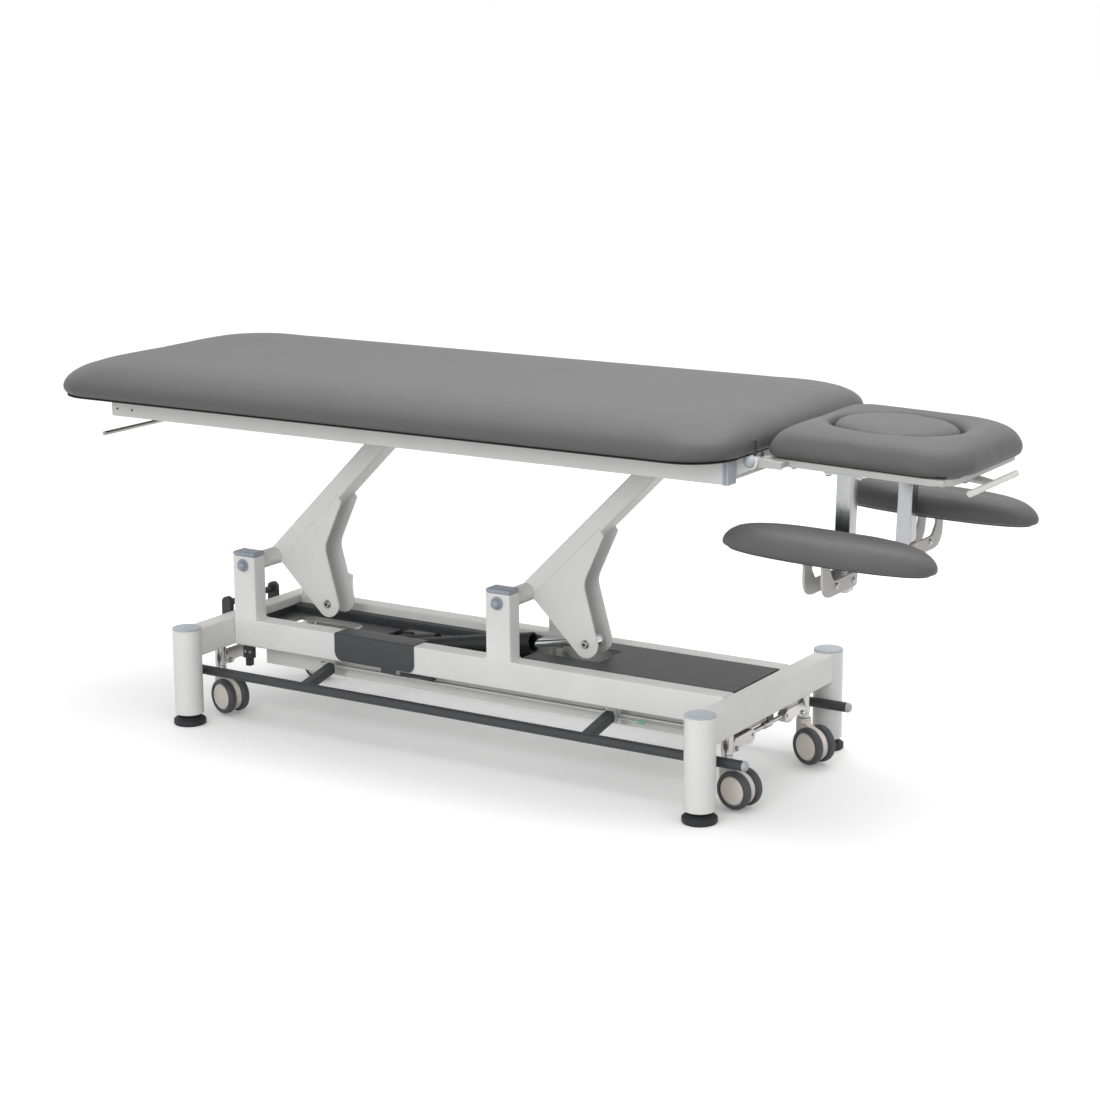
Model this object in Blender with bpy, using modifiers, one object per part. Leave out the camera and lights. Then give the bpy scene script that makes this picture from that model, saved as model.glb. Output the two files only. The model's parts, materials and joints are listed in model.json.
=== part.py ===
"""Height-adjustable treatment table: lifting frame, long pad and tilting head section.

Metres, +Z up, +X from the foot end to the head end, the floor at z = 0.
The right side of the table (a patient lying on the back has it on the right) is -Y.
"""
import bpy
import bmesh
from math import atan2, cos, hypot, pi, radians, sin
from mathutils import Matrix, Vector

# Clearances
SEAT = 0.0003           # between faces that touch
RUN = 0.0005            # between faces that turn or slide on each other

# Legs and base frame
LEG_SPAN_X = 1.224      # between leg axes, foot end to head end
LEG_SPAN_Y = 0.534
FOOT_LEG_X = -LEG_SPAN_X / 2
HEAD_LEG_X = LEG_SPAN_X / 2
LEG_RADIUS = 0.030
LEG_WALL = 0.0025
LEG_BOTTOM = 0.024
LEG_TOP = 0.205
LEG_CAP_RISE = 0.005
INSERT_THICKNESS = 0.010
FOOT_RADIUS = 0.034
FOOT_RIM_HEIGHT = 0.009
FOOT_NECK_RADIUS = 0.022
FOOT_HEIGHT = 0.020
FOOT_THREAD_RADIUS = 0.006
FOOT_THREAD_REACH = 0.030

BEAM_TOP = 0.204
BEAM_HEIGHT = 0.060
BEAM_BEVEL = 0.004
CROSSBEAM_WIDTH = 0.040
RAIL_WIDTH = 0.042
RAIL_OUTER_Y = 0.1365

POST_LENGTH = 0.058
POST_WIDTH = 0.038
POST_OUTER_Y = 0.1360       # half a millimetre inside the rail's face
POST_TOP = 0.340
POST_CAP_RISE = 0.009
POST_SET_BACK = 0.051       # foot post's axis from the foot legs' axis
ARM_SPACING = 0.642         # between the two posts, and so between the two arms
FOOT_POST_X = FOOT_LEG_X + POST_SET_BACK
HEAD_POST_X = FOOT_POST_X + ARM_SPACING

# Lift arms
PIVOT_Z = 0.321
PIVOT_SHAFT_RADIUS = 0.010
PIVOT_WASHER_RADIUS = 0.0135
PIVOT_WASHER_THICKNESS = 0.004
PIVOT_DOME_RADIUS = 0.0105
TORQUE_TUBE_RADIUS = 0.019
ARM_ANGLE = radians(44.6)
ARM_REACH = 0.464       # lower pivot to upper pivot, along the tube
ARM_DEPTH = 0.040
ARM_WIDTH = 0.056
ARM_DROP = 0.0017       # tube's middle line below the lower pivot
ARM_BEVEL = 0.004
GUSSET_Y = (0.0255, 0.0295)
GUSSET_HEEL = (0.0035, -0.0165)
GUSSET_TIP = ((0.2270, -0.0150), (0.2245, -0.0305))
GUSSET_WAIST = (0.1186, -0.0701)
LUG_CENTRE = (0.0358, -0.1613)
LUG_RADIUS = 0.029
LUG_BOLT_HEAD_RADIUS = 0.0085
LUG_BOLT_HEAD_HEIGHT = 0.003
TOP_PIN_RADIUS = 0.008

# Sheet-metal covers and lower pan
SHEET = 0.0015
COVER_FLANGE = 0.014
HEAD_COVER_START = HEAD_POST_X + 0.031
HEAD_COVER_END = HEAD_LEG_X - 0.022
LUG_SLOT_END = HEAD_POST_X + 0.181
LUG_SLOT_HALF = 0.046
TRAY_START = FOOT_LEG_X + 0.022
TRAY_END = HEAD_POST_X - 0.031
TRAY_TOP = BEAM_TOP - 0.017     # the tray lies below the rails' tops
TRAY_WELL_START = FOOT_POST_X - 0.011
TRAY_WELL_HALF = 0.072
SIDE_PLATE_X = (FOOT_POST_X + 0.237, FOOT_POST_X + 0.438)
SIDE_PLATE_BOTTOM = 0.147
SIDE_PLATE_CORNER = 0.020
SIDE_TAB_X = (FOOT_POST_X + 0.350, FOOT_POST_X + 0.425)
SIDE_TAB_BOTTOM = 0.137
PAN_X = (FOOT_LEG_X + 0.067, HEAD_LEG_X - 0.042)
PAN_FLOOR = 0.098
PAN_HALF = 0.088
PAN_LIP = 0.009

# Lift actuator
CLEVIS_X = FOOT_POST_X + 0.231
CLEVIS_Z = 0.135
CLEVIS_PIN_RADIUS = 0.005
CLEVIS_TUBE_Z = (0.1445, 0.1705)
CLEVIS_SET_BACK = 0.050
ACTUATOR_TUBE_RADIUS = 0.0215
ACTUATOR_BORE_RADIUS = 0.0180
ACTUATOR_TUBE_END = 0.415
ACTUATOR_BORE_START = 0.170
ACTUATOR_ROD_RADIUS = 0.0085
ACTUATOR_ROD_LENGTH = 0.265
ACTUATOR_SLACK = radians(0.3)   # the bore leads the rod by this much at rest
MOTOR_RADIUS = 0.020
MOTOR_X = (0.060, 0.140)
MOTOR_Y = 0.048

# Foot switch bars
BAR_Y = 0.220
BAR_Z = 0.106
BAR_RADIUS = 0.010
BAR_X = (FOOT_LEG_X - 0.038, HEAD_LEG_X + 0.075)
BAR_CAP_LENGTH = 0.010
BAR_ARMS_X = (FOOT_LEG_X + 0.269, HEAD_LEG_X - 0.277)
BAR_ARM_SIZE = 0.022
SHAFT_Y = 0.118
SHAFT_Z = 0.129
SHAFT_RADIUS = 0.004
SHAFT_X = (FOOT_LEG_X + 0.237, HEAD_LEG_X - 0.052)
HANGER_THICKNESS = 0.003
HANGER_WIDTH = 0.028
HANGER_BOTTOM = 0.113

# Castors
CASTOR_Y = 0.160
WHEEL_RADIUS = 0.0375
WHEEL_CLEARANCE = 0.004     # above the floor with the castors raised
WHEEL_WIDTH = 0.018
WHEEL_GAP = 0.016           # between the two wheels
WHEEL_AXLE_RADIUS = 0.004
CASTOR_TRAIL = 0.030
HOOD_RADIUS = 0.029
NECK_RADIUS = 0.0135
NECK_TOP = 0.0915
STEM_RADIUS = 0.011
STEM_SOCKET_DEPTH = 0.036
CARRIER_BAR_Z = (0.108, 0.128)
CARRIER_BAR_THICKNESS = 0.006
CARRIER_BOX_LENGTH = 0.050
CASTOR_HEADINGS = {"foot_right": -15, "foot_left": -22, "head_right": -10, "head_left": -19}

# Castor pedal
PEDAL_PIVOT = (FOOT_LEG_X - 0.043, 0.172)
PEDAL_LUG_Y = 0.079
PEDAL_LUG_THICKNESS = 0.012
PEDAL_LUG_WIDTH = 0.024
PEDAL_TOP = 0.229
PEDAL_ROD_Z = 0.214
PEDAL_ROD_RADIUS = 0.007
PEDAL_PIN_RADIUS = 0.005
PEDAL_EAR_Y = 0.055
PEDAL_EAR_THICKNESS = 0.006
PEDAL_EAR_RADIUS = 0.009
TREADLE_REACH = 0.052
TREADLE_THICKNESS = 0.010

# Bed frame and pads, drawn with the foot arm's upper pivot at BED_PIVOT
BED_PIVOT = (-0.229426, 0.645589)
BED_RAIL_OUTER_Y = 0.240
BED_RAIL_WIDTH = 0.030
BED_RAIL_Z = (0.635, 0.685)
BED_RAIL_X = (-0.814, 0.651)
BED_FOOT_BEAM_X = (-0.800, -0.770)
ARM_BEAM_OFFSET = 0.036      # crossbeam's near face beyond the upper pivot
ARM_BEAM_WIDTH = 0.040
ARM_BEAM_BOTTOM = 0.645
ARM_LUG_THICKNESS = 0.006
HEAD_BEAM_X = (0.618, 0.650)
HEAD_BEAM_Z = (0.640, 0.682)
HEAD_BEAM_NOTCH = (0.016, 0.670)     # half width and top, for the gas spring
EAR_THICKNESS = 0.006
EAR_INNER_Y = 0.2025
EAR_RADIUS = 0.015
HINGE_PIN_RADIUS = 0.006
HINGE_DOME_RADIUS = 0.0105
ROLL_BAR_X = -0.840
ROLL_BAR_Z = 0.595
ROLL_BAR_RADIUS = 0.0045
ROLL_BAR_HALF = 0.240
ROLL_ARM_WIDTH = 0.026
ROLL_ARM_THICKNESS = 0.005

# Main pad
PAD_X = (-0.912, 0.684)
PAD_HALF_WIDTH = 0.350
PAD_BOTTOM = 0.6853
PAD_TOP = 0.7500
PAD_WIDEST = 0.706
PAD_EDGE = 0.034
PAD_CORNER = 0.095

# Head section, in its own frame with the hinge axis as origin
HINGE_X = 0.678
HINGE_Z = 0.676
HEAD_TILT = radians(1.6)     # head end down, as the table stands in the photograph
HEAD_RAIL_Y = (0.147, 0.167)
HEAD_RAIL_Z = (-0.008, 0.004)
HEAD_RAIL_END = 0.358
HEAD_EAR_Y = (0.1960, 0.2020)
HEAD_EAR_RADIUS = 0.011
HEAD_BARS_X = (0.045, 0.340)
HEAD_BAR_WIDTH = 0.024
HEAD_PAD_X = (0.018, 0.394)
HEAD_PAD_HALF_WIDTH = 0.182
HEAD_PAD_BOTTOM = 0.0045
HEAD_PAD_WIDEST = 0.024
HEAD_PAD_TOP = 0.0640
HEAD_PAD_EDGE = 0.024
HEAD_PAD_CORNERS = (0.030, 0.092)    # at the hinge end and at the head end
FACE_CENTRE_X = 0.192
FACE_HALF = (0.124, 0.106)
PLUG_GAP = 0.0008
PLUG_EDGE = 0.012

# Armrests
REST_POST_X = 0.1605
REST_POST_Y = 0.135
REST_POST_SIZE = 0.030
REST_POST_BOTTOM = -0.231
REST_PLATE_SIZE = (0.072, 0.050)
REST_PLATE_THICKNESS = 0.005
REST_PIVOT_Z = -0.207
REST_PIN_RADIUS = 0.005
REST_BRACKET_THICKNESS = 0.005
REST_BRACKET_BOTTOM = -0.220
REST_BRACKET_OUTER_Y = 0.262
REST_BRACKET_STEM = 0.030
REST_PAD_Y = 0.235
REST_PAD_BOTTOM = -0.152
REST_PAD_WIDEST = -0.131
REST_PAD_TOP = -0.103
REST_PAD_X = (-0.033, 0.384)
REST_PAD_HALF_WIDTH = 0.064
REST_PAD_EDGE = 0.026
REST_MOUNT_LENGTH = 0.110

# Head release lever
LEVER_PIVOT = (0.336, -0.021)
LEVER_BAR = (0.384, -0.026)
LEVER_BAR_HALF = 0.1085
LEVER_BAR_RADIUS = 0.006
LEVER_ARM_WIDTH = 0.030
LEVER_ARM_THICKNESS = 0.004
LEVER_PIN_RADIUS = 0.004
LEVER_EAR_Y = 0.020
LEVER_EAR_THICKNESS = 0.004

# Gas spring of the head section
GAS_Y = 0.157
GAS_BED_PIN = (0.485, 0.622)
GAS_HEAD_PIN = (0.105, -0.030)      # in the head section's frame
GAS_TUBE_RADIUS = 0.010
GAS_BORE_RADIUS = 0.0065
GAS_TUBE_X = (0.012, 0.190)
GAS_BORE_START = 0.100
GAS_ROD_RADIUS = 0.004
GAS_ROD_LENGTH = 0.150
GAS_EYE_RADIUS = 0.008
GAS_EYE_THICKNESS = 0.010
GAS_PIN_RADIUS = 0.004
GAS_LUG_Y = 0.0085
GAS_LUG_THICKNESS = 0.004

# Round pieces
FINE = 24
MEDIUM = 16
COARSE = 12


# Scene, collections and materials

for old in list(bpy.data.objects):
    bpy.data.objects.remove(old, do_unlink=True)

scene = bpy.context.scene
parts = bpy.data.collections.new("treatment_table")
cutters = bpy.data.collections.new("cutters")
for collection in (parts, cutters):
    scene.collection.children.link(collection)


def paint(name, colour, roughness, metallic=0.0):
    """A Principled material from an sRGB hex colour."""
    channels = [int(colour[i:i + 2], 16) / 255 for i in (1, 3, 5)]
    linear = [c / 12.92 if c <= 0.04045 else ((c + 0.055) / 1.055) ** 2.4 for c in channels]
    made = bpy.data.materials.new(name)
    made.use_nodes = True
    shader = made.node_tree.nodes["Principled BSDF"]
    shader.inputs["Base Color"].default_value = (*linear, 1.0)
    shader.inputs["Roughness"].default_value = roughness
    shader.inputs["Metallic"].default_value = metallic
    return made


PAINTED_STEEL = ("#dcdcda", 0.45, 0.0)
DARK_SHEET = ("#4d4d4f", 0.5, 0.0)
CAP_PLASTIC = ("#9aa2ac", 0.5, 0.0)
BLACK_RUBBER = ("#1d1d1f", 0.7, 0.0)
BLACK_CAST = ("#2a2a2c", 0.5, 0.0)
ZINC = ("#b9bcbb", 0.35, 0.9)
STEEL = ("#c3c6c9", 0.3, 1.0)
CASTOR_PLASTIC = ("#c9bfb4", 0.5, 0.0)
GREY_TYRE = ("#636468", 0.7, 0.0)
LEATHERETTE = ("#7d7d7e", 0.5, 0.0)
ACTUATOR_SHELL = ("#5a5c5f", 0.45, 0.0)


# Modelling helpers

def empty(name, location, parent=None, tilt=0.0):
    """A joint frame: an empty on the joint's axis, turned about Y by tilt."""
    made = bpy.data.objects.new(name, None)
    made.location = location
    made.rotation_euler = (0.0, tilt, 0.0)
    made.parent = parent
    parts.objects.link(made)
    return made


def place(name, mesh, parent, finish=None, smooth=True):
    """Link a mesh as an object under its joint frame."""
    made = bpy.data.objects.new(name, mesh)
    parts.objects.link(made)
    made.parent = parent
    if finish:
        mesh.materials.clear()
        mesh.materials.append(paint(name, *finish))
    if smooth:
        mesh.shade_smooth()
        mesh.set_sharp_from_angle(angle=radians(32))
    return made


def baked(made):
    """Replace an object by one whose modifiers are applied, in the object's own frame."""
    bpy.context.view_layer.update()
    graph = bpy.context.evaluated_depsgraph_get()
    mesh = bpy.data.meshes.new_from_object(made.evaluated_get(graph))
    mesh.transform(made.matrix_basis)
    bpy.data.objects.remove(made, do_unlink=True)
    return mesh


def mesh_from(edit):
    """Turn a bmesh into a mesh, with its faces pointing out."""
    bmesh.ops.recalc_face_normals(edit, faces=edit.faces)
    mesh = bpy.data.meshes.new("shape")
    edit.to_mesh(mesh)
    edit.free()
    return mesh


def block(low, high, bevel=0.0, segments=1):
    """A box between two corners, with its edges rounded by bevel."""
    edit = bmesh.new()
    bmesh.ops.create_cube(edit, size=1.0)
    size = Vector(high) - Vector(low)
    centre = (Vector(high) + Vector(low)) / 2
    bmesh.ops.scale(edit, vec=size, verts=edit.verts)
    bmesh.ops.translate(edit, vec=centre, verts=edit.verts)
    if bevel:
        bmesh.ops.bevel(edit, geom=edit.edges[:], offset=bevel, segments=segments,
                        affect="EDGES", profile=0.5)
    return mesh_from(edit)


AXIS_TURN = {"X": Matrix.Rotation(pi / 2, 4, "Y"), "Y": Matrix.Rotation(-pi / 2, 4, "X"),
             "Z": Matrix.Identity(4)}


def rod(radius, start, end, axis, at=(0.0, 0.0), segments=MEDIUM, end_radius=None):
    """A cylinder or cone along an axis from start to end; at gives its other two coordinates."""
    edit = bmesh.new()
    last = radius if end_radius is None else end_radius
    bmesh.ops.create_cone(edit, cap_ends=True, segments=segments, radius1=radius,
                          radius2=last, depth=end - start)
    middle = (start + end) / 2
    centre = {"X": (middle, *at), "Y": (at[0], middle, at[1]), "Z": (*at, middle)}[axis]
    bmesh.ops.transform(edit, matrix=Matrix.Translation(centre) @ AXIS_TURN[axis],
                        verts=edit.verts)
    return mesh_from(edit)


def turned(profile, segments, axis="Z", at=(0.0, 0.0, 0.0), closed=False):
    """A profile of (radius, height) points, listed top to bottom, turned by a Screw modifier."""
    mesh = bpy.data.meshes.new("profile")
    count = len(profile)
    edges = [(i, i + 1) for i in range(count - 1)] + ([(count - 1, 0)] if closed else [])
    mesh.from_pydata([(r, 0.0, h) for r, h in profile], edges, [])
    made = bpy.data.objects.new("turned", mesh)
    parts.objects.link(made)
    screw = made.modifiers.new("turn", "SCREW")
    screw.steps = screw.render_steps = segments
    screw.use_merge_vertices = True
    screw.merge_threshold = 0.00005
    solid = baked(made)
    edit = bmesh.new()
    edit.from_mesh(solid)
    bmesh.ops.remove_doubles(edit, verts=edit.verts, dist=0.00002)
    bmesh.ops.transform(edit, matrix=Matrix.Translation(at) @ AXIS_TURN[axis], verts=edit.verts)
    return mesh_from(edit)


def arc(centre, radius, start, end, steps):
    """Points on an arc from one angle to another, in degrees."""
    angles = [radians(start + (end - start) * i / steps) for i in range(steps + 1)]
    return [(centre[0] + radius * cos(a), centre[1] + radius * sin(a)) for a in angles]


def filleted(corners, steps=4):
    """A closed outline from (x, y, radius) corners, each rounded by its own radius."""
    outline = []
    count = len(corners)
    for i, (x, y, radius) in enumerate(corners):
        here = Vector((x, y))
        back = (Vector(corners[i - 1][:2]) - here).normalized()
        ahead = (Vector(corners[(i + 1) % count][:2]) - here).normalized()
        if radius == 0.0:
            outline.append((x, y))
            continue
        half = back.angle(ahead) / 2
        reach = radius / abs(sin(half)) * cos(half)
        middle = here + (back + ahead).normalized() * radius / sin(half)
        first = here + back * reach - middle
        last = here + ahead * reach - middle
        turn = first.angle_signed(last)
        for k in range(steps + 1):
            a = -turn * k / steps
            outline.append((middle.x + first.x * cos(a) - first.y * sin(a),
                            middle.y + first.x * sin(a) + first.y * cos(a)))
    return outline


def ellipse(centre, half, count):
    angles = [2 * pi * i / count for i in range(count)]
    return [(centre[0] + half[0] * cos(a), centre[1] + half[1] * sin(a)) for a in angles]


def flat(outlines, low, high, plane="XY", edge=0.0, edge_steps=0):
    """A flat shape between two levels, from 2D curves; edge rounds it outwards."""
    curve = bpy.data.curves.new("outline", "CURVE")
    curve.dimensions = "2D"
    curve.fill_mode = "BOTH"
    curve.extrude = (high - low) / 2 - edge
    curve.bevel_depth = edge
    curve.bevel_resolution = edge_steps
    for outline in outlines:
        spline = curve.splines.new("POLY")
        spline.points.add(len(outline) - 1)
        for point, (x, y) in zip(spline.points, outline):
            point.co = (x, y, 0.0, 1.0)
        spline.use_cyclic_u = True
    made = bpy.data.objects.new("flat", curve)
    parts.objects.link(made)
    mesh = baked(made)
    edit = bmesh.new()
    edit.from_mesh(mesh)
    bmesh.ops.remove_doubles(edit, verts=edit.verts, dist=0.00001)
    bmesh.ops.translate(edit, vec=(0.0, 0.0, (low + high) / 2), verts=edit.verts)
    if plane == "XZ":
        turn = Matrix(((1, 0, 0, 0), (0, 0, 1, 0), (0, 1, 0, 0), (0, 0, 0, 1)))
    elif plane == "YZ":
        turn = Matrix(((0, 0, 1, 0), (1, 0, 0, 0), (0, 1, 0, 0), (0, 0, 0, 1)))
    else:
        turn = Matrix.Identity(4)
    bmesh.ops.transform(edit, matrix=turn, verts=edit.verts)
    return mesh_from(edit)


def combine(first, others, operation):
    """Boolean a list of meshes into or out of the first."""
    base = bpy.data.objects.new("base", first)
    parts.objects.link(base)
    tools = []
    for other in others:
        tool = bpy.data.objects.new("tool", other)
        cutters.objects.link(tool)
        tool.display_type = "WIRE"
        tool.hide_render = True
        tools.append(tool)
        step = base.modifiers.new("step", "BOOLEAN")
        step.operation = operation
        step.object = tool
        step.solver = "MANIFOLD"
    mesh = baked(base)
    for tool in tools:
        bpy.data.objects.remove(tool, do_unlink=True)
    return mesh


def joined(first, *others):
    return combine(first, others, "UNION")


def cut(first, *others):
    return combine(first, others, "DIFFERENCE")


def moved(mesh, offset):
    mesh.transform(Matrix.Translation(offset))
    return mesh


def cushion(outlines, bottom, widest, top, edge, steps=3):
    """A padded shape: its sides bulge to the outline's own size at the widest level."""
    half = edge
    mesh = flat(outlines, -half, half, edge=edge, edge_steps=steps)
    for vertex in mesh.vertices:
        side = vertex.co.z / half
        vertex.co.z = widest + side * ((top - widest) if side > 0 else (widest - bottom))
    return mesh


# Base frame: two crossbeams welded between the leg tubes, two rails and four posts

table = empty("table", (0.0, 0.0, 0.0))
LEG_X = HEAD_LEG_X
LEG_Y = LEG_SPAN_Y / 2
BEAM_BOTTOM = BEAM_TOP - BEAM_HEIGHT
RAIL_INNER_Y = RAIL_OUTER_Y - RAIL_WIDTH
RAIL_HALF_LENGTH = LEG_X - CROSSBEAM_WIDTH / 2 - SEAT
SIDES = (("right", -1), ("left", 1))
ENDS = (("foot", -1), ("head", 1))


def leg_tube():
    inner = LEG_RADIUS - LEG_WALL
    thread = FOOT_THREAD_RADIUS + SEAT
    insert_top = LEG_BOTTOM + INSERT_THICKNESS
    profile = [(LEG_RADIUS, LEG_TOP), (LEG_RADIUS, LEG_BOTTOM), (thread, LEG_BOTTOM),
               (thread, insert_top), (inner, insert_top), (inner, LEG_TOP)]
    return turned(profile, FINE, closed=True)


def crossbeam(name, end):
    x = end * LEG_X
    half = CROSSBEAM_WIDTH / 2
    beam = block((x - half, -LEG_Y, BEAM_BOTTOM), (x + half, LEG_Y, BEAM_TOP), BEAM_BEVEL, 2)
    hollows = [rod(LEG_RADIUS - LEG_WALL / 2, 0.0, 1.0, "Z", (x, side * LEG_Y), FINE)
               for _, side in SIDES]
    sockets = [rod(STEM_RADIUS + RUN, BEAM_BOTTOM - 0.01, BEAM_BOTTOM + STEM_SOCKET_DEPTH,
                   "Z", (x, side * CASTOR_Y)) for _, side in SIDES]
    beam = cut(beam, *hollows, *sockets)
    legs = [moved(leg_tube(), (x, side * LEG_Y, 0.0)) for _, side in SIDES]
    beam = joined(beam, *legs)
    if end < 0:
        beam = joined(beam, *[pedal_ear(side) for _, side in SIDES])
    place(name, beam, table, PAINTED_STEEL)


def pedal_ear(side):
    """A bored ear on the foot crossbeam that carries the pedal's pin."""
    face = -LEG_X - CROSSBEAM_WIDTH / 2 + 0.002
    px, pz = PEDAL_PIVOT
    r = PEDAL_EAR_RADIUS
    outline = [(face, pz - r)] + [(face, pz + r)] + arc((px, pz), r, 90, 270, 8)
    low = side * PEDAL_EAR_Y - PEDAL_EAR_THICKNESS / 2
    ear = flat([outline], low, low + PEDAL_EAR_THICKNESS, "XZ")
    bore = rod(PEDAL_PIN_RADIUS + SEAT, low - 0.01, low + 0.02, "Y", (px, pz), COARSE)
    return cut(ear, bore)


def post_sides(side):
    """The lower and upper Y of a post on one side of the table."""
    faces = side * POST_OUTER_Y, side * (POST_OUTER_Y - POST_WIDTH)
    return min(faces), max(faces)


def base_rail(name, side):
    faces = side * RAIL_OUTER_Y, side * RAIL_INNER_Y
    low, high = min(faces), max(faces)
    rail = block((-RAIL_HALF_LENGTH, low, BEAM_BOTTOM), (RAIL_HALF_LENGTH, high, BEAM_TOP),
                 BEAM_BEVEL, 2)
    low, high = post_sides(side)
    posts = [block((x - POST_LENGTH / 2, low, BEAM_TOP - BEAM_HEIGHT / 2),
                   (x + POST_LENGTH / 2, high, POST_TOP), BEAM_BEVEL, 2)
             for x in (FOOT_POST_X, HEAD_POST_X)]
    bores = [rod(PIVOT_SHAFT_RADIUS + SEAT, low - 0.01, high + 0.01, "Y", (x, PIVOT_Z))
             for x in (FOOT_POST_X, HEAD_POST_X)]
    place(name, cut(joined(rail, *posts), *bores), table, PAINTED_STEEL)


def leg_cap(name, x, y):
    """A plastic plug: a domed top on a spigot that sits inside the tube."""
    spigot = LEG_RADIUS - LEG_WALL - SEAT
    seat = LEG_TOP + SEAT
    profile = [(0.0, seat + LEG_CAP_RISE), (LEG_RADIUS * 0.8, seat + LEG_CAP_RISE * 0.9),
               (LEG_RADIUS, seat + LEG_CAP_RISE * 0.55), (LEG_RADIUS, seat), (spigot, seat),
               (spigot, seat - 0.012), (0.0, seat - 0.012)]
    place(name, turned(profile, FINE, at=(x, y, 0.0)), table, CAP_PLASTIC)


def post_cap(name, x, side):
    """A rectangular cap with rounded edges on a post."""
    low, high = post_sides(side)
    seat = POST_TOP + SEAT
    cap = block((x - POST_LENGTH / 2, low, seat - 0.004),
                (x + POST_LENGTH / 2, high, seat + POST_CAP_RISE), 0.004, 2)
    trim = block((x - POST_LENGTH, low - 0.01, seat - 0.01),
                 (x + POST_LENGTH, high + 0.01, seat))
    place(name, cut(cap, trim), table, CAP_PLASTIC)


def levelling_foot(name, x, y):
    """A rubber foot on a threaded stem."""
    frame = empty(name + "_axis", (x, y, 0.0), table)
    thread_top = LEG_BOTTOM + FOOT_THREAD_REACH
    profile = [(0.0, thread_top), (FOOT_THREAD_RADIUS, thread_top),
               (FOOT_THREAD_RADIUS, FOOT_HEIGHT), (FOOT_NECK_RADIUS, FOOT_HEIGHT),
               (FOOT_NECK_RADIUS + 0.003, FOOT_HEIGHT - 0.003),
               (FOOT_RADIUS, FOOT_RIM_HEIGHT + 0.002), (FOOT_RADIUS, 0.002),
               (FOOT_RADIUS - 0.002, 0.0), (0.0, 0.0)]
    place(name, turned(profile, FINE), frame, BLACK_RUBBER)


for end_name, end in ENDS:
    crossbeam(end_name + "_crossbeam", end)
    for side_name, side in SIDES:
        corner = end_name + "_" + side_name
        leg_cap("leg_cap_" + corner, end * LEG_X, side * LEG_Y)
        levelling_foot("levelling_foot_" + corner, end * LEG_X, side * LEG_Y)
for side_name, side in SIDES:
    base_rail("base_rail_" + side_name, side)
    for post_name, post_x in (("foot", FOOT_POST_X), ("head", HEAD_POST_X)):
        post_cap("post_cap_" + post_name + "_" + side_name, post_x, side)


# Lift arms: rectangular tube, torque tube, two gusset plates with lugs

POST_INNER_Y = POST_OUTER_Y - POST_WIDTH


def gusset_outline():
    lx, lz = LUG_CENTRE
    hx, hz = GUSSET_HEEL
    wx, wz = GUSSET_WAIST
    down = atan2(lz - wz, lx - wx)
    up = atan2(hz - lz, hx - lx)
    lug_right = (lx + LUG_RADIUS * cos(down + pi / 2), lz + LUG_RADIUS * sin(down + pi / 2))
    lug_left = (lx + LUG_RADIUS * cos(up + pi / 2), lz + LUG_RADIUS * sin(up + pi / 2))
    start = atan2(lug_right[1] - lz, lug_right[0] - lx)
    end = atan2(lug_left[1] - lz, lug_left[0] - lx)
    while end > start:
        end -= 2 * pi
    tip_and_waist = filleted([(hx, hz, 0.002), (*GUSSET_TIP[0], 0.0), (*GUSSET_TIP[1], 0.004),
                              (wx, wz, 0.040), (*lug_right, 0.0)], 3)[:-1]
    lug = arc((lx, lz), LUG_RADIUS, start * 180 / pi, end * 180 / pi, 10)
    return tip_and_waist + lug


def lift_arm(name, pivot_x):
    """The arm in its own frame: +X runs along the tube from the lower pivot."""
    frame = empty(name + "_pivot", (pivot_x, 0.0, PIVOT_Z), table, -ARM_ANGLE)
    half_y, half_z = ARM_WIDTH / 2, ARM_DEPTH / 2
    tube = block((0.002, -half_y, -ARM_DROP - half_z),
                 (ARM_REACH, half_y, -ARM_DROP + half_z), ARM_BEVEL, 2)
    head = rod(half_z, -half_y, half_y, "Y", (ARM_REACH, -ARM_DROP), FINE)
    torque = rod(TORQUE_TUBE_RADIUS, -POST_INNER_Y + RUN, POST_INNER_Y - RUN, "Y",
                 (0.0, 0.0), MEDIUM)
    arm = joined(tube, head, torque)
    for _, side in SIDES:
        inner, outer = side * GUSSET_Y[0], side * GUSSET_Y[1]
        plate = flat([gusset_outline()], min(inner, outer), max(inner, outer), "XZ")
        head_end = side * (GUSSET_Y[1] + LUG_BOLT_HEAD_HEIGHT)
        bolt = rod(LUG_BOLT_HEAD_RADIUS, min(inner, head_end), max(inner, head_end), "Y",
                   LUG_CENTRE, 6)
        arm = joined(arm, joined(plate, bolt))
    shaft = rod(PIVOT_SHAFT_RADIUS + SEAT, -0.2, 0.2, "Y", (0.0, 0.0), MEDIUM)
    pin = rod(TOP_PIN_RADIUS + SEAT, -0.2, 0.2, "Y", (ARM_REACH, -ARM_DROP), COARSE)
    place(name, cut(arm, shaft, pin), frame, PAINTED_STEEL)


def pivot_shaft(name, pivot_x):
    """A through shaft with a washer and a domed end outside each post."""
    frame = empty(name + "_axis", (pivot_x, 0.0, PIVOT_Z), table)
    seat = POST_OUTER_Y + SEAT
    washer = seat + PIVOT_WASHER_THICKNESS
    dome = [(PIVOT_DOME_RADIUS * cos(radians(a)), washer + PIVOT_DOME_RADIUS * sin(radians(a)))
            for a in (90, 60, 30, 0)]
    upper = [(max(r, 0.0), h) for r, h in dome]
    upper[0] = (0.0, upper[0][1])
    upper += [(PIVOT_WASHER_RADIUS, washer), (PIVOT_WASHER_RADIUS, seat),
              (PIVOT_SHAFT_RADIUS, seat)]
    lower = [(r, -h) for r, h in reversed(upper)]
    place(name, turned(upper + lower, MEDIUM, "Y"), frame, CAP_PLASTIC)


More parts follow.
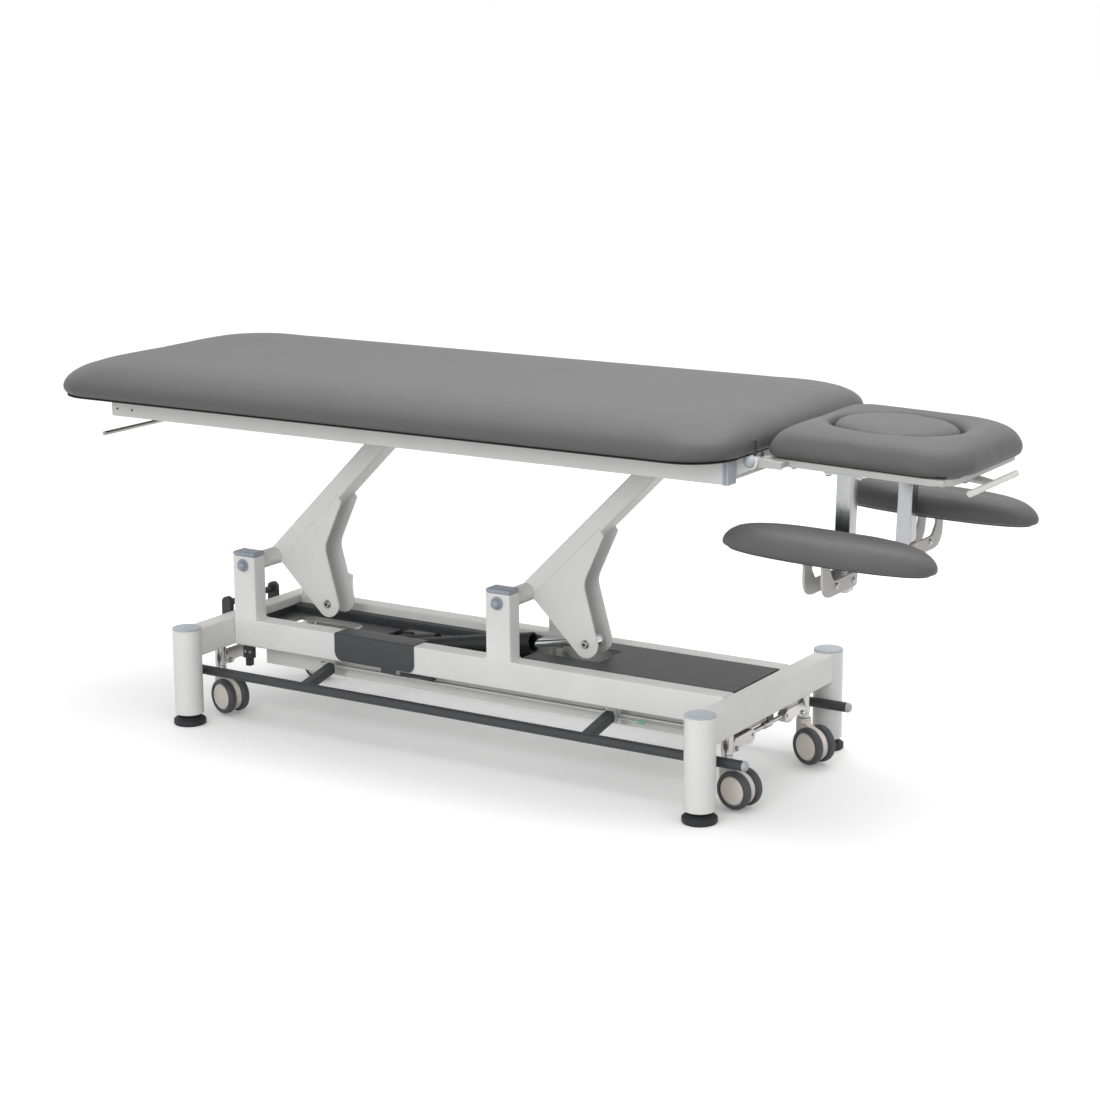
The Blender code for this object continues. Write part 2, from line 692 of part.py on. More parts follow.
for end_name, pivot_x in (("foot", FOOT_POST_X), ("head", HEAD_POST_X)):
    lift_arm("lift_arm_" + end_name, pivot_x)
    pivot_shaft("pivot_shaft_" + end_name, pivot_x)


def arm_point(pivot_x, along, rise):
    """A point of the arm's own frame in the table's frame."""
    c, s = cos(ARM_ANGLE), sin(ARM_ANGLE)
    return pivot_x + along * c - rise * s, PIVOT_Z + along * s + rise * c


TOP_PIVOT = arm_point(FOOT_POST_X, ARM_REACH, -ARM_DROP)
DRIVE_PIN = arm_point(HEAD_POST_X, *LUG_CENTRE)


# Covers: folded sheet between the rails, and the lower pan

COVER_HALF = RAIL_INNER_Y - SEAT


def folded_cover(x_low, x_high, z_top):
    """A sheet with both long edges folded down against the rails."""
    top = block((x_low, -COVER_HALF, z_top - SHEET), (x_high, COVER_HALF, z_top))
    walls = []
    for _, side in SIDES:
        outer, inner = side * COVER_HALF, side * (COVER_HALF - SHEET)
        walls.append(block((x_low, min(outer, inner), z_top - COVER_FLANGE),
                           (x_high, max(outer, inner), z_top)))
    return joined(top, *walls)


def slot(x_low, x_high, half, corner, z_top):
    """A cutter for a window with rounded corners in a cover."""
    outline = filleted([(x_low, -half, corner), (x_high, -half, corner),
                        (x_high, half, corner), (x_low, half, corner)])
    return flat([outline], z_top - 0.005, z_top + 0.005)


def head_cover():
    sheet = folded_cover(HEAD_COVER_START, HEAD_COVER_END, BEAM_TOP)
    lug_slot = slot(HEAD_COVER_START - 0.05, LUG_SLOT_END, LUG_SLOT_HALF, 0.008, BEAM_TOP)
    place("head_cover", cut(sheet, lug_slot), table, DARK_SHEET)


def foot_tray():
    """The foot half's cover, with a plate that folds over the right rail."""
    sheet = folded_cover(TRAY_START, TRAY_END, TRAY_TOP)
    well = slot(TRAY_WELL_START, TRAY_END + 0.05, TRAY_WELL_HALF, 0.040, TRAY_TOP)
    sheet = cut(sheet, well)
    low_x, high_x = SIDE_PLATE_X
    outer = RAIL_OUTER_Y + SEAT + SHEET
    lid_z = BEAM_TOP + SEAT
    step = -COVER_HALF + 0.0003
    section = [(step + 0.010, lid_z + SHEET), (-outer, lid_z + SHEET), (-outer, SIDE_TAB_BOTTOM),
               (-outer + SHEET, SIDE_TAB_BOTTOM), (-outer + SHEET, lid_z), (step, lid_z),
               (step, TRAY_TOP - SHEET / 2), (step + 0.010, TRAY_TOP - SHEET / 2)]
    fold = flat([section], low_x, high_x, "YZ")
    r = SIDE_PLATE_CORNER
    far = 0.02
    above = lid_z + SHEET + far
    face = filleted([(low_x - far, above, 0.0), (low_x - far, BEAM_TOP - 0.01, 0.0),
                     (low_x, BEAM_TOP - 0.01, 0.0),
                     (low_x, SIDE_PLATE_BOTTOM, r), (SIDE_TAB_X[0], SIDE_PLATE_BOTTOM, 0.0),
                     (SIDE_TAB_X[0], SIDE_TAB_BOTTOM - 0.001, 0.0),
                     (SIDE_TAB_X[1], SIDE_TAB_BOTTOM - 0.001, 0.0),
                     (SIDE_TAB_X[1], SIDE_PLATE_BOTTOM, 0.0),
                     (high_x, SIDE_PLATE_BOTTOM, r * 0.6), (high_x, BEAM_TOP - 0.01, 0.0),
                     (high_x + far, BEAM_TOP - 0.01, 0.0), (high_x + far, above, 0.0)])
    below = [(low_x - 2 * far, SIDE_TAB_BOTTOM - far), (high_x + 2 * far, SIDE_TAB_BOTTOM - far),
             (high_x + 2 * far, above + far), (low_x - 2 * far, above + far)]
    trim = flat([below, face], -outer - 0.01, -outer + 0.01, "XZ")
    place("foot_tray", joined(sheet, cut(fold, trim)), table, DARK_SHEET)


def lower_pan():
    """An open tray that hangs by its lips under the rails."""
    x_low, x_high = PAN_X
    top = BEAM_BOTTOM - SEAT
    floor = block((x_low, -PAN_HALF, PAN_FLOOR), (x_high, PAN_HALF, PAN_FLOOR + SHEET))
    walls = []
    for _, side in SIDES:
        outer, inner = side * PAN_HALF, side * (PAN_HALF - SHEET)
        lip = side * (RAIL_INNER_Y + PAN_LIP)
        walls.append(block((x_low, min(outer, inner), PAN_FLOOR),
                           (x_high, max(outer, inner), top)))
        walls.append(block((x_low, min(lip, inner), top - SHEET), (x_high, max(lip, inner), top)))
    ends = [block((x, -PAN_HALF, PAN_FLOOR), (x + SHEET, PAN_HALF, top))
            for x in (x_low, x_high - SHEET)]
    place("lower_pan", joined(floor, *walls, *ends), table, PAINTED_STEEL)


head_cover()
foot_tray()
lower_pan()


# Lift actuator: a clevis crossmember, the motor body and the push rod

DRIVE_ANGLE = atan2(DRIVE_PIN[1] - CLEVIS_Z, DRIVE_PIN[0] - CLEVIS_X)
DRIVE_LENGTH = hypot(DRIVE_PIN[1] - CLEVIS_Z, DRIVE_PIN[0] - CLEVIS_X)


def clevis_crossmember():
    """A square tube between the rails with two lugs for the actuator's rear pin."""
    back = CLEVIS_X - CLEVIS_SET_BACK
    z_low, z_high = CLEVIS_TUBE_Z
    half = (z_high - z_low) / 2
    tube = block((back - half, -COVER_HALF, z_low), (back + half, COVER_HALF, z_high), 0.003, 1)
    pieces = []
    for _, side in SIDES:
        inner, outer = side * 0.0105, side * 0.0155
        outline = ([(back, z_low + 0.004)] + arc((CLEVIS_X, CLEVIS_Z), 0.011, -110, 70, 8)
                   + [(back, z_high - 0.004)])
        pieces.append(flat([outline], min(inner, outer), max(inner, outer), "XZ"))
    pin = rod(CLEVIS_PIN_RADIUS, -0.013, 0.013, "Y", (CLEVIS_X, CLEVIS_Z), COARSE)
    place("actuator_crossmember", joined(tube, *pieces, pin), table, PAINTED_STEEL)


def actuator_body():
    """Housing, motor and outer tube, in a frame along the actuator's axis."""
    turn = -DRIVE_ANGLE - ACTUATOR_SLACK
    frame = empty("actuator_body_axis", (CLEVIS_X, 0.0, CLEVIS_Z), table, turn)
    eye = rod(0.0105, -0.0100, 0.0100, "Y", (0.0, 0.0), COARSE)
    neck = block((0.0, -0.0092, -0.0080), (0.030, 0.0092, 0.0080))
    tube = rod(ACTUATOR_TUBE_RADIUS, 0.0285, ACTUATOR_TUBE_END, "X", (0.0, 0.0), FINE)
    gear = block((0.020, -0.0260, -0.0250), (0.080, MOTOR_Y - 0.017, 0.0250), 0.006, 1)
    gear_side = block((0.024, 0.0, -0.0228), (0.070, MOTOR_Y + MOTOR_RADIUS + 0.001, 0.0228), 0.004, 1)
    motor = rod(MOTOR_RADIUS, *MOTOR_X, "X", (MOTOR_Y, 0.0), MEDIUM)
    body = joined(neck, eye, gear, tube, gear_side, motor)
    bore = rod(ACTUATOR_BORE_RADIUS, ACTUATOR_BORE_START, ACTUATOR_TUBE_END + 0.01, "X",
               (0.0, 0.0), MEDIUM)
    pin = rod(CLEVIS_PIN_RADIUS + SEAT, -0.02, 0.02, "Y", (0.0, 0.0), COARSE)
    place("actuator_body", cut(body, bore, pin), frame, ACTUATOR_SHELL)


def actuator_rod():
    """The push rod, whose eye sits between the lugs of the head-end arm."""
    turn = -DRIVE_ANGLE - ACTUATOR_SLACK
    frame = empty("actuator_rod_axis", (DRIVE_PIN[0], 0.0, DRIVE_PIN[1]), table, turn)
    half = GUSSET_Y[0] - RUN
    eye = rod(0.017, -0.015, 0.015, "Y", (0.0, 0.0), MEDIUM)
    spacer = rod(0.010, -half, half, "Y", (0.0, 0.0), COARSE)
    shank = rod(ACTUATOR_ROD_RADIUS, -ACTUATOR_ROD_LENGTH, 0.0, "X", (0.0, 0.0), MEDIUM)
    place("actuator_rod", joined(shank, eye, spacer), frame, STEEL)


clevis_crossmember()
actuator_body()
actuator_rod()


# Foot switch bars: a tube along each side that tips about a shaft under the rail

def switch_shaft(name, side):
    """A steel shaft in two hanger plates under the rail."""
    y = side * SHAFT_Y
    shaft = rod(SHAFT_RADIUS, *SHAFT_X, "X", (y, SHAFT_Z), 12)
    plates = []
    for x in BAR_ARMS_X:
        low = x + BAR_ARM_SIZE / 2 + RUN
        plates.append(block((low, y - HANGER_WIDTH / 2, HANGER_BOTTOM),
                            (low + HANGER_THICKNESS, y + HANGER_WIDTH / 2, BEAM_BOTTOM - SEAT)))
        collar = low - BAR_ARM_SIZE - 2 * RUN
        plates.append(rod(SHAFT_RADIUS + 0.003, collar - 0.006, collar, "X", (y, SHAFT_Z), 12))
    place(name, joined(shaft, *plates), table, ZINC)


def switch_bar(name, side):
    """The tube, its two arms and its end caps, tipping about the shaft."""
    frame = empty(name + "_axis", (0.0, side * SHAFT_Y, SHAFT_Z), table)
    reach = side * (BAR_Y - SHAFT_Y)
    drop = BAR_Z - SHAFT_Z
    tube = rod(BAR_RADIUS, BAR_X[0], BAR_X[1], "X", (reach, drop), COARSE)
    half = BAR_ARM_SIZE / 2
    section = [(-side * 0.009, -0.009, 0.004), (-side * 0.009, 0.009, 0.004),
               (reach, drop + 0.0085, 0.0), (reach, drop - 0.0085, 0.0)]
    arms = [flat([filleted(section, 2)], x - half, x + half, "YZ") for x in BAR_ARMS_X]
    bores = [rod(SHAFT_RADIUS + SEAT, x - half - 0.01, x + half + 0.01, "X", (0.0, 0.0), 12)
             for x in BAR_ARMS_X]
    place(name, cut(joined(tube, *arms), *bores), frame, DARK_SHEET)


for side_name, side in SIDES:
    switch_shaft("switch_shaft_" + side_name, side)
    switch_bar("switch_bar_" + side_name, side)


# Castors: a carrier at each end lifts two stems; each stem swivels a twin-wheel castor

WHEEL_Z = WHEEL_RADIUS + WHEEL_CLEARANCE


def castor_carrier(name, end):
    """Two castor stems joined by the flat bar that raises and lowers them."""
    x = end * LEG_X
    z_low, z_high = CARRIER_BAR_Z
    bar = block((x - CARRIER_BAR_THICKNESS / 2, -CASTOR_Y, z_low),
                (x + CARRIER_BAR_THICKNESS / 2, CASTOR_Y, z_high))
    pieces = []
    for _, side in SIDES:
        y = side * CASTOR_Y
        stem_top = BEAM_BOTTOM + STEM_SOCKET_DEPTH - 2 * RUN
        pieces.append(rod(STEM_RADIUS, NECK_TOP + SEAT, stem_top, "Z", (x, y), MEDIUM))
        inner = side * (CASTOR_Y - STEM_RADIUS - 0.012)
        far = inner - side * CARRIER_BOX_LENGTH
        pieces.append(block((x - 0.012, min(inner, far), z_low - 0.006),
                            (x + 0.012, max(inner, far), z_high + 0.004), 0.004, 1))
    place(name, joined(bar, *pieces), table, ZINC)


def castor(corner, x, y, heading):
    """Hood and wheel pair of one castor, turned to its heading."""
    frame = empty("castor_" + corner + "_swivel", (x, y, 0.0), table)
    frame.rotation_euler = (0.0, 0.0, radians(heading))
    half = WHEEL_GAP / 2 - RUN
    r = HOOD_RADIUS
    neck_bottom = WHEEL_Z + WHEEL_RADIUS - 0.0015
    centre = (CASTOR_TRAIL, WHEEL_Z)
    outline = (arc(centre, r, -170, 60, 14)
               + [(NECK_RADIUS * 0.8, NECK_TOP - 0.004), (-NECK_RADIUS, NECK_TOP - 0.004),
                  (-NECK_RADIUS, neck_bottom)])
    web = flat([outline], -half, half, "XZ")
    neck = rod(NECK_RADIUS, neck_bottom, NECK_TOP, "Z", (0.0, 0.0), MEDIUM)
    bore = rod(WHEEL_AXLE_RADIUS + SEAT, -0.03, 0.03, "Y", centre, COARSE)
    place("castor_hood_" + corner, cut(joined(web, neck), bore), frame, CASTOR_PLASTIC)
    axle = empty("castor_" + corner + "_axle", (CASTOR_TRAIL, 0.0, WHEEL_Z), frame)
    inner, outer = WHEEL_GAP / 2, WHEEL_GAP / 2 + WHEEL_WIDTH
    hub = WHEEL_RADIUS * 0.72
    upper = [(0.0, outer - 0.001), (hub, outer), (hub + 0.002, outer - 0.001),
             (WHEEL_RADIUS - 0.004, outer - 0.001), (WHEEL_RADIUS, outer - 0.006),
             (WHEEL_RADIUS, inner + 0.004), (WHEEL_RADIUS - 0.003, inner),
             (WHEEL_AXLE_RADIUS, inner)]
    lower = [(q, -h) for q, h in reversed(upper)]
    place("castor_wheels_" + corner, turned(upper + lower, FINE, "Y"), axle, GREY_TYRE)


for end_name, end in ENDS:
    castor_carrier("castor_carrier_" + end_name, end)
    for side_name, side in SIDES:
        corner = end_name + "_" + side_name
        castor(corner, end * LEG_X, side * CASTOR_Y, CASTOR_HEADINGS[corner])


def castor_pedal():
    """The rocking pedal behind the foot crossbeam: two lugs, a grip rod and a treadle."""
    px, pz = PEDAL_PIVOT
    frame = empty("castor_pedal_axis", (px, 0.0, pz), table)
    half = PEDAL_LUG_WIDTH / 2
    top = PEDAL_TOP - pz
    pieces = []
    for _, side in SIDES:
        low = side * PEDAL_LUG_Y - PEDAL_LUG_THICKNESS / 2
        outline = ([(-half, -0.014), (half, -0.014)]
                   + arc((0.0, top - half), half, 0, 180, 8))
        pieces.append(flat([outline], low, low + PEDAL_LUG_THICKNESS, "XZ"))
    grip = rod(PEDAL_ROD_RADIUS, -PEDAL_LUG_Y, PEDAL_LUG_Y, "Y", (0.0, PEDAL_ROD_Z - pz), COARSE)
    pin = rod(PEDAL_PIN_RADIUS, -PEDAL_LUG_Y, PEDAL_LUG_Y, "Y", (0.0, 0.0), COARSE)
    treadle = block((-TREADLE_REACH, -PEDAL_LUG_Y - 0.010, -0.014),
                    (-0.0098, PEDAL_LUG_Y + 0.010, -0.014 + TREADLE_THICKNESS), 0.003, 1)
    place("castor_pedal", joined(grip, pin, treadle, *pieces), frame, BLACK_CAST)


castor_pedal()


# Bed frame: side rails, crossbeams with the arm pins, head beam with hinge ears

bed = empty("bed", (TOP_PIVOT[0], 0.0, TOP_PIVOT[1]), table)
BED_X, BED_Z = BED_PIVOT
BED_RAIL_INNER_Y = BED_RAIL_OUTER_Y - BED_RAIL_WIDTH


def on_bed(mesh):
    """A mesh drawn in the bed's coordinates, in the bed's own frame at the pivot."""
    return moved(mesh, (-BED_X, 0.0, -BED_Z))


def bed_rail(name, side):
    outer, inner = side * BED_RAIL_OUTER_Y, side * BED_RAIL_INNER_Y
    rail = block((BED_RAIL_X[0], min(outer, inner), BED_RAIL_Z[0]),
                 (BED_RAIL_X[1], max(outer, inner), BED_RAIL_Z[1]), 0.003, 2)
    place(name, on_bed(rail), bed, PAINTED_STEEL)


def bed_cross(x_low, x_high, z_low, z_high):
    half = BED_RAIL_INNER_Y - SEAT
    return block((x_low, -half, z_low), (x_high, half, z_high), 0.003, 1)


def arm_beam(name, pivot):
    """A crossbeam with two lugs and the pin that carries the bed on a lift arm."""
    px, pz = pivot
    x_low = px + ARM_BEAM_OFFSET
    beam = bed_cross(x_low, x_low + ARM_BEAM_WIDTH, ARM_BEAM_BOTTOM, BED_RAIL_Z[1])
    r = TOP_PIN_RADIUS * 2
    lugs = []
    for _, side in SIDES:
        inner = side * (ARM_WIDTH / 2 + RUN)
        outer = side * (ARM_WIDTH / 2 + RUN + ARM_LUG_THICKNESS)
        outline = (arc((px, pz), r, 90, 270, 8)
                   + [(x_low + 0.01, pz - r + 0.006), (x_low + 0.01, pz + r)])
        lugs.append(flat([outline], min(inner, outer), max(inner, outer), "XZ"))
    reach = ARM_WIDTH / 2 + RUN + ARM_LUG_THICKNESS
    pin = rod(TOP_PIN_RADIUS, -reach - 0.004, reach + 0.004, "Y", (px, pz), COARSE)
    return name, beam, [*lugs, pin]


def gas_lug(x, z, beam_z):
    """Two small lugs with a pin for one end of the gas spring."""
    pieces = []
    for _, side in SIDES:
        inner = GAS_Y + side * (GAS_LUG_Y - GAS_LUG_THICKNESS / 2)
        outer = GAS_Y + side * (GAS_LUG_Y + GAS_LUG_THICKNESS / 2)
        r = GAS_EYE_RADIUS
        outline = [(x - r, beam_z)] + arc((x, z), r, 180, 360, 6) + [(x + r, beam_z)]
        pieces.append(flat([outline], min(inner, outer), max(inner, outer), "XZ"))
    pieces.append(rod(GAS_PIN_RADIUS, GAS_Y - GAS_LUG_Y, GAS_Y + GAS_LUG_Y, "Y", (x, z), 12))
    return pieces


def arm_beams():
    name, beam, extras = arm_beam("arm_beam_foot", BED_PIVOT)
    place(name, on_bed(joined(beam, *extras)), bed, PAINTED_STEEL)
    name, beam, extras = arm_beam("arm_beam_head", (BED_X + ARM_SPACING, BED_Z))
    gas_x, gas_z = GAS_BED_PIN
    extras += gas_lug(gas_x, gas_z, ARM_BEAM_BOTTOM + 0.005)
    place(name, on_bed(joined(beam, *extras)), bed, PAINTED_STEEL)


def head_beam():
    """The crossbeam at the head end, with an ear and a hinge pin on each side."""
    beam = bed_cross(*HEAD_BEAM_X, *HEAD_BEAM_Z)
    half, top = HEAD_BEAM_NOTCH
    notch = block((HEAD_BEAM_X[0] - 0.01, -half, HEAD_BEAM_Z[0] - 0.01),
                  (HEAD_BEAM_X[1] + 0.01, half, top))
    notch = moved(notch, (0.0, GAS_Y, 0.0))
    beam = cut(beam, notch)
    pieces = []
    for _, side in SIDES:
        inner, outer = side * EAR_INNER_Y, side * (EAR_INNER_Y + EAR_THICKNESS)
        outline = (arc((HINGE_X, HINGE_Z), EAR_RADIUS, 60, -90, 10)
                   + [(HEAD_BEAM_X[1] - 0.008, HEAD_BEAM_Z[0] + 0.004),
                      (HEAD_BEAM_X[1] - 0.008, HEAD_BEAM_Z[1] - 0.001),
                      (HEAD_BEAM_X[1] + 0.005, HEAD_BEAM_Z[1] - 0.0005)])
        pieces.append(flat([outline], min(inner, outer), max(inner, outer), "XZ"))
        start = side * (HEAD_EAR_Y[0] - 0.002)
        seat = side * (EAR_INNER_Y + EAR_THICKNESS)
        pieces.append(rod(HINGE_PIN_RADIUS, min(start, seat), max(start, seat), "Y",
                          (HINGE_X, HINGE_Z), COARSE))
        dome_end = side * (EAR_INNER_Y + EAR_THICKNESS + 0.006)
        narrow, wide = HINGE_DOME_RADIUS * 0.55, HINGE_DOME_RADIUS
        first, last = (wide, narrow) if side > 0 else (narrow, wide)
        pieces.append(rod(first, min(seat, dome_end) - (0.001 if side > 0 else 0.0),
                          max(seat, dome_end) + (0.0 if side > 0 else 0.001), "Y",
                          (HINGE_X, HINGE_Z), COARSE, last))
    place("head_beam", on_bed(joined(beam, *pieces)), bed, PAINTED_STEEL)


def roll_bar():
    """A T-shaped rod under the foot end that holds a roll of paper."""
    bar = rod(ROLL_BAR_RADIUS, -ROLL_BAR_HALF, ROLL_BAR_HALF, "Y", (ROLL_BAR_X, ROLL_BAR_Z), 12)
    top = BED_RAIL_Z[0] - SEAT
    t = ROLL_ARM_THICKNESS
    end = BED_FOOT_BEAM_X[1]
    outline = [(end, top), (BED_FOOT_BEAM_X[0] - 0.010, top),
               (ROLL_BAR_X - 0.002, ROLL_BAR_Z), (ROLL_BAR_X + t, ROLL_BAR_Z - 0.002),
               (BED_FOOT_BEAM_X[0] - 0.004, top - t), (end, top - t)]
    arm = flat([outline], -ROLL_ARM_WIDTH / 2, ROLL_ARM_WIDTH / 2, "XZ")
    place("roll_bar", on_bed(joined(bar, arm)), bed, PAINTED_STEEL)


for side_name, side in SIDES:
    bed_rail("bed_rail_" + side_name, side)
place("bed_foot_beam", on_bed(bed_cross(*BED_FOOT_BEAM_X, *BED_RAIL_Z)), bed, PAINTED_STEEL)
arm_beams()
head_beam()
roll_bar()


def rounded_plan(x_range, half_width, corners, inset, steps=6):
    """A rounded rectangle about the centre line, drawn inset by the edge's roundness."""
    x_low, x_high = x_range[0] + inset, x_range[1] - inset
    half, near, far = half_width - inset, corners[0] - inset, corners[1] - inset
    return filleted([(x_low, -half, near), (x_high, -half, far), (x_high, half, far),
                     (x_low, half, near)], steps)


main_pad = cushion([rounded_plan(PAD_X, PAD_HALF_WIDTH, (PAD_CORNER, PAD_CORNER), PAD_EDGE)],
                   PAD_BOTTOM, PAD_WIDEST, PAD_TOP, PAD_EDGE)
place("main_pad", on_bed(main_pad), bed, LEATHERETTE)


# Head section, hung on the head beam's hinge pins

head = empty("head_section", (HINGE_X - BED_X, 0.0, HINGE_Z - BED_Z), bed, HEAD_TILT)


def head_frame():
    """Side bars with hinge ears, two crossbars, and the two hanging armrest posts."""
    z_low, z_high = HEAD_RAIL_Z
    pieces = []
    for _, side in SIDES:
        y_a, y_b = side * HEAD_RAIL_Y[0], side * HEAD_RAIL_Y[1]
        ear_a, ear_b = side * HEAD_EAR_Y[0], side * HEAD_EAR_Y[1]
        bar = block((0.004, min(y_a, y_b), z_low), (HEAD_RAIL_END, max(y_a, y_b), z_high), 0.002, 1)
        ear = flat([arc((0.0, 0.0), HEAD_EAR_RADIUS, 60, 300, 10)
                    + [(0.060, z_low), (0.060, z_high)]],
                   min(ear_a, ear_b), max(ear_a, ear_b), "XZ")
        link_y = y_b - side * 0.001, ear_b - side * 0.0005
        link = block((0.022, min(link_y), z_low + 0.001), (0.058, max(link_y), z_high - 0.001))
        plate_x, plate_y = REST_PLATE_SIZE
        plate = block((REST_POST_X - plate_x / 2, side * REST_POST_Y - plate_y / 2,
                       z_low - REST_PLATE_THICKNESS),
                      (REST_POST_X + plate_x / 2, side * REST_POST_Y + plate_y / 2, z_low + 0.001))
        half = REST_POST_SIZE / 2
        post = block((REST_POST_X - half, side * REST_POST_Y - half, REST_POST_BOTTOM),
                     (REST_POST_X + half, side * REST_POST_Y + half, z_low - 0.002), 0.002, 1)
        pieces.append(joined(bar, ear, link, plate, post))
    bars = [block((x - HEAD_BAR_WIDTH / 2, -HEAD_RAIL_Y[0] - 0.004, z_low + 0.0005),
                  (x + HEAD_BAR_WIDTH / 2, HEAD_RAIL_Y[0] + 0.004, z_high - 0.0005))
            for x in HEAD_BARS_X]
    frame_mesh = joined(bars[0], *pieces)
    frame_mesh = joined(frame_mesh, *bars[1:])
    frame_mesh = joined(frame_mesh, *gas_lug(*GAS_HEAD_PIN, z_low + 0.002))
    lever_ears = []
    px, pz = LEVER_PIVOT
    for _, side in SIDES:
        low = side * LEVER_EAR_Y - LEVER_EAR_THICKNESS / 2
        r = 0.008
        outline = ([(px - r, z_low + 0.002)] + arc((px, pz), r, 180, 360, 6)
                   + [(px + r, z_low + 0.002)])
        lever_ears.append(flat([outline], low, low + LEVER_EAR_THICKNESS, "XZ"))
    lever_pin = rod(LEVER_PIN_RADIUS, -LEVER_EAR_Y, LEVER_EAR_Y, "Y", LEVER_PIVOT, 12)
    frame_mesh = joined(frame_mesh, *lever_ears, lever_pin)
    hinge_bore = rod(HINGE_PIN_RADIUS + SEAT, -0.25, 0.25, "Y", (0.0, 0.0), COARSE)
    rest_bores = [rod(REST_PIN_RADIUS + SEAT, REST_POST_X - 0.03, REST_POST_X + 0.03, "X",
                      (side * REST_POST_Y, REST_PIVOT_Z), COARSE) for _, side in SIDES]
    place("head_frame", cut(frame_mesh, hinge_bore, *rest_bores), head, PAINTED_STEEL)


def head_pad():
    """The head cushion with its oval face opening."""
    outer = rounded_plan(HEAD_PAD_X, HEAD_PAD_HALF_WIDTH, HEAD_PAD_CORNERS, HEAD_PAD_EDGE)
    solid = cushion([outer], HEAD_PAD_BOTTOM, HEAD_PAD_WIDEST, HEAD_PAD_TOP, HEAD_PAD_EDGE)
    opening = flat([ellipse((FACE_CENTRE_X, 0.0), FACE_HALF, 40)], -0.05, 0.15)
    place("head_pad", cut(solid, opening), head, LEATHERETTE)


def face_plug():
    """The lift-out cushion that fills the face opening."""
    half = [h - PLUG_GAP - PLUG_EDGE for h in FACE_HALF]
    plug = cushion([ellipse((0.0, 0.0), half, 40)], HEAD_PAD_BOTTOM + 0.004,
                   HEAD_PAD_BOTTOM + 0.030, HEAD_PAD_TOP + 0.001, PLUG_EDGE, 2)
    frame = empty("face_plug_axis", (FACE_CENTRE_X, 0.0, 0.0), head)
    place("face_plug", plug, frame, LEATHERETTE)


head_frame()
head_pad()
face_plug()


# Armrests: a hooked double bracket on each post carries a pad

def rest_bracket_outline(side):
    """The hooked plate in the armrest's own frame, the pivot at the origin."""
    outer = REST_BRACKET_OUTER_Y - REST_POST_Y
    inner = outer - REST_BRACKET_STEM
    bottom = REST_BRACKET_BOTTOM - REST_PIVOT_Z
    top = REST_PAD_BOTTOM - SEAT - REST_PIVOT_Z
    corners = [(-0.017, 0.014, 0.010), (inner - 0.016, 0.014, 0.014), (inner, 0.034, 0.010),
               (inner, top, 0.0), (outer, top, 0.0), (outer, bottom, 0.034),
               (-0.017, bottom, 0.010)]
    if side < 0:
        corners = [(-y, z, r) for y, z, r in reversed(corners)]
    return filleted(corners)


def armrest(side_name, side):
    frame = empty("armrest_" + side_name + "_pivot",
                  (REST_POST_X, side * REST_POST_Y, REST_PIVOT_Z), head)
    gap = REST_POST_SIZE / 2 + RUN
    t = REST_BRACKET_THICKNESS
    plates = [flat([rest_bracket_outline(side)], low, low + t, "YZ") for low in (gap, -gap - t)]
    pin = rod(REST_PIN_RADIUS, -gap - t - 0.003, gap + t + 0.003, "X", (0.0, 0.0), COARSE)
    top = REST_PAD_BOTTOM - SEAT - REST_PIVOT_Z
    outer = REST_BRACKET_OUTER_Y - REST_POST_Y
    y_a, y_b = side * (outer - REST_BRACKET_STEM - 0.010), side * (outer + 0.002)
    mount_plate = block((-REST_MOUNT_LENGTH / 2, min(y_a, y_b), top - t),
                        (REST_MOUNT_LENGTH / 2, max(y_a, y_b), top))
    bracket = joined(plates[0], plates[1], pin, mount_plate)
    place("armrest_bracket_" + side_name, bracket, frame, PAINTED_STEEL)
    half_x = (REST_PAD_X[1] - REST_PAD_X[0]) / 2 - REST_PAD_EDGE
    middle = (REST_PAD_X[0] + REST_PAD_X[1]) / 2
    half_y = REST_PAD_HALF_WIDTH - REST_PAD_EDGE
    r = half_y * 0.98
    stretch = 2.2
    plan = []
    for x, y in filleted([(-half_x / stretch, -half_y, r), (half_x / stretch, -half_y, r),
                          (half_x / stretch, half_y, r), (-half_x / stretch, half_y, r)], 6):
        plan.append((x * stretch, y))
    pad = cushion([plan], REST_PAD_BOTTOM, REST_PAD_WIDEST, REST_PAD_TOP, REST_PAD_EDGE)
    pad = moved(pad, (middle - REST_POST_X, side * (REST_PAD_Y - REST_POST_Y), -REST_PIVOT_Z))
    place("armrest_pad_" + side_name, pad, frame, LEATHERETTE)


for side_name, side in SIDES:
    armrest(side_name, side)


# Head release: a T-shaped lever and the lockable gas spring

def release_lever():
    px, pz = LEVER_PIVOT
    bx, bz = LEVER_BAR
    frame = empty("release_lever_axis", (px, 0.0, pz), head)
    bar = rod(LEVER_BAR_RADIUS, -LEVER_BAR_HALF, LEVER_BAR_HALF, "Y", (bx - px, bz - pz), COARSE)
    t = LEVER_ARM_THICKNESS
    half = LEVER_EAR_Y - LEVER_EAR_THICKNESS / 2 - RUN
    arm = flat([[(0.0, -t), (bx - px, bz - pz - t / 2), (bx - px, bz - pz + t / 2), (0.0, t)]],
               -half, half, "XZ")
    eye = rod(LEVER_PIN_RADIUS + 0.004, -half, half, "Y", (0.0, 0.0), COARSE)
    bore = rod(LEVER_PIN_RADIUS + SEAT, -0.05, 0.05, "Y", (0.0, 0.0), 12)
    place("release_lever", cut(joined(arm, eye, bar), bore), frame, PAINTED_STEEL)


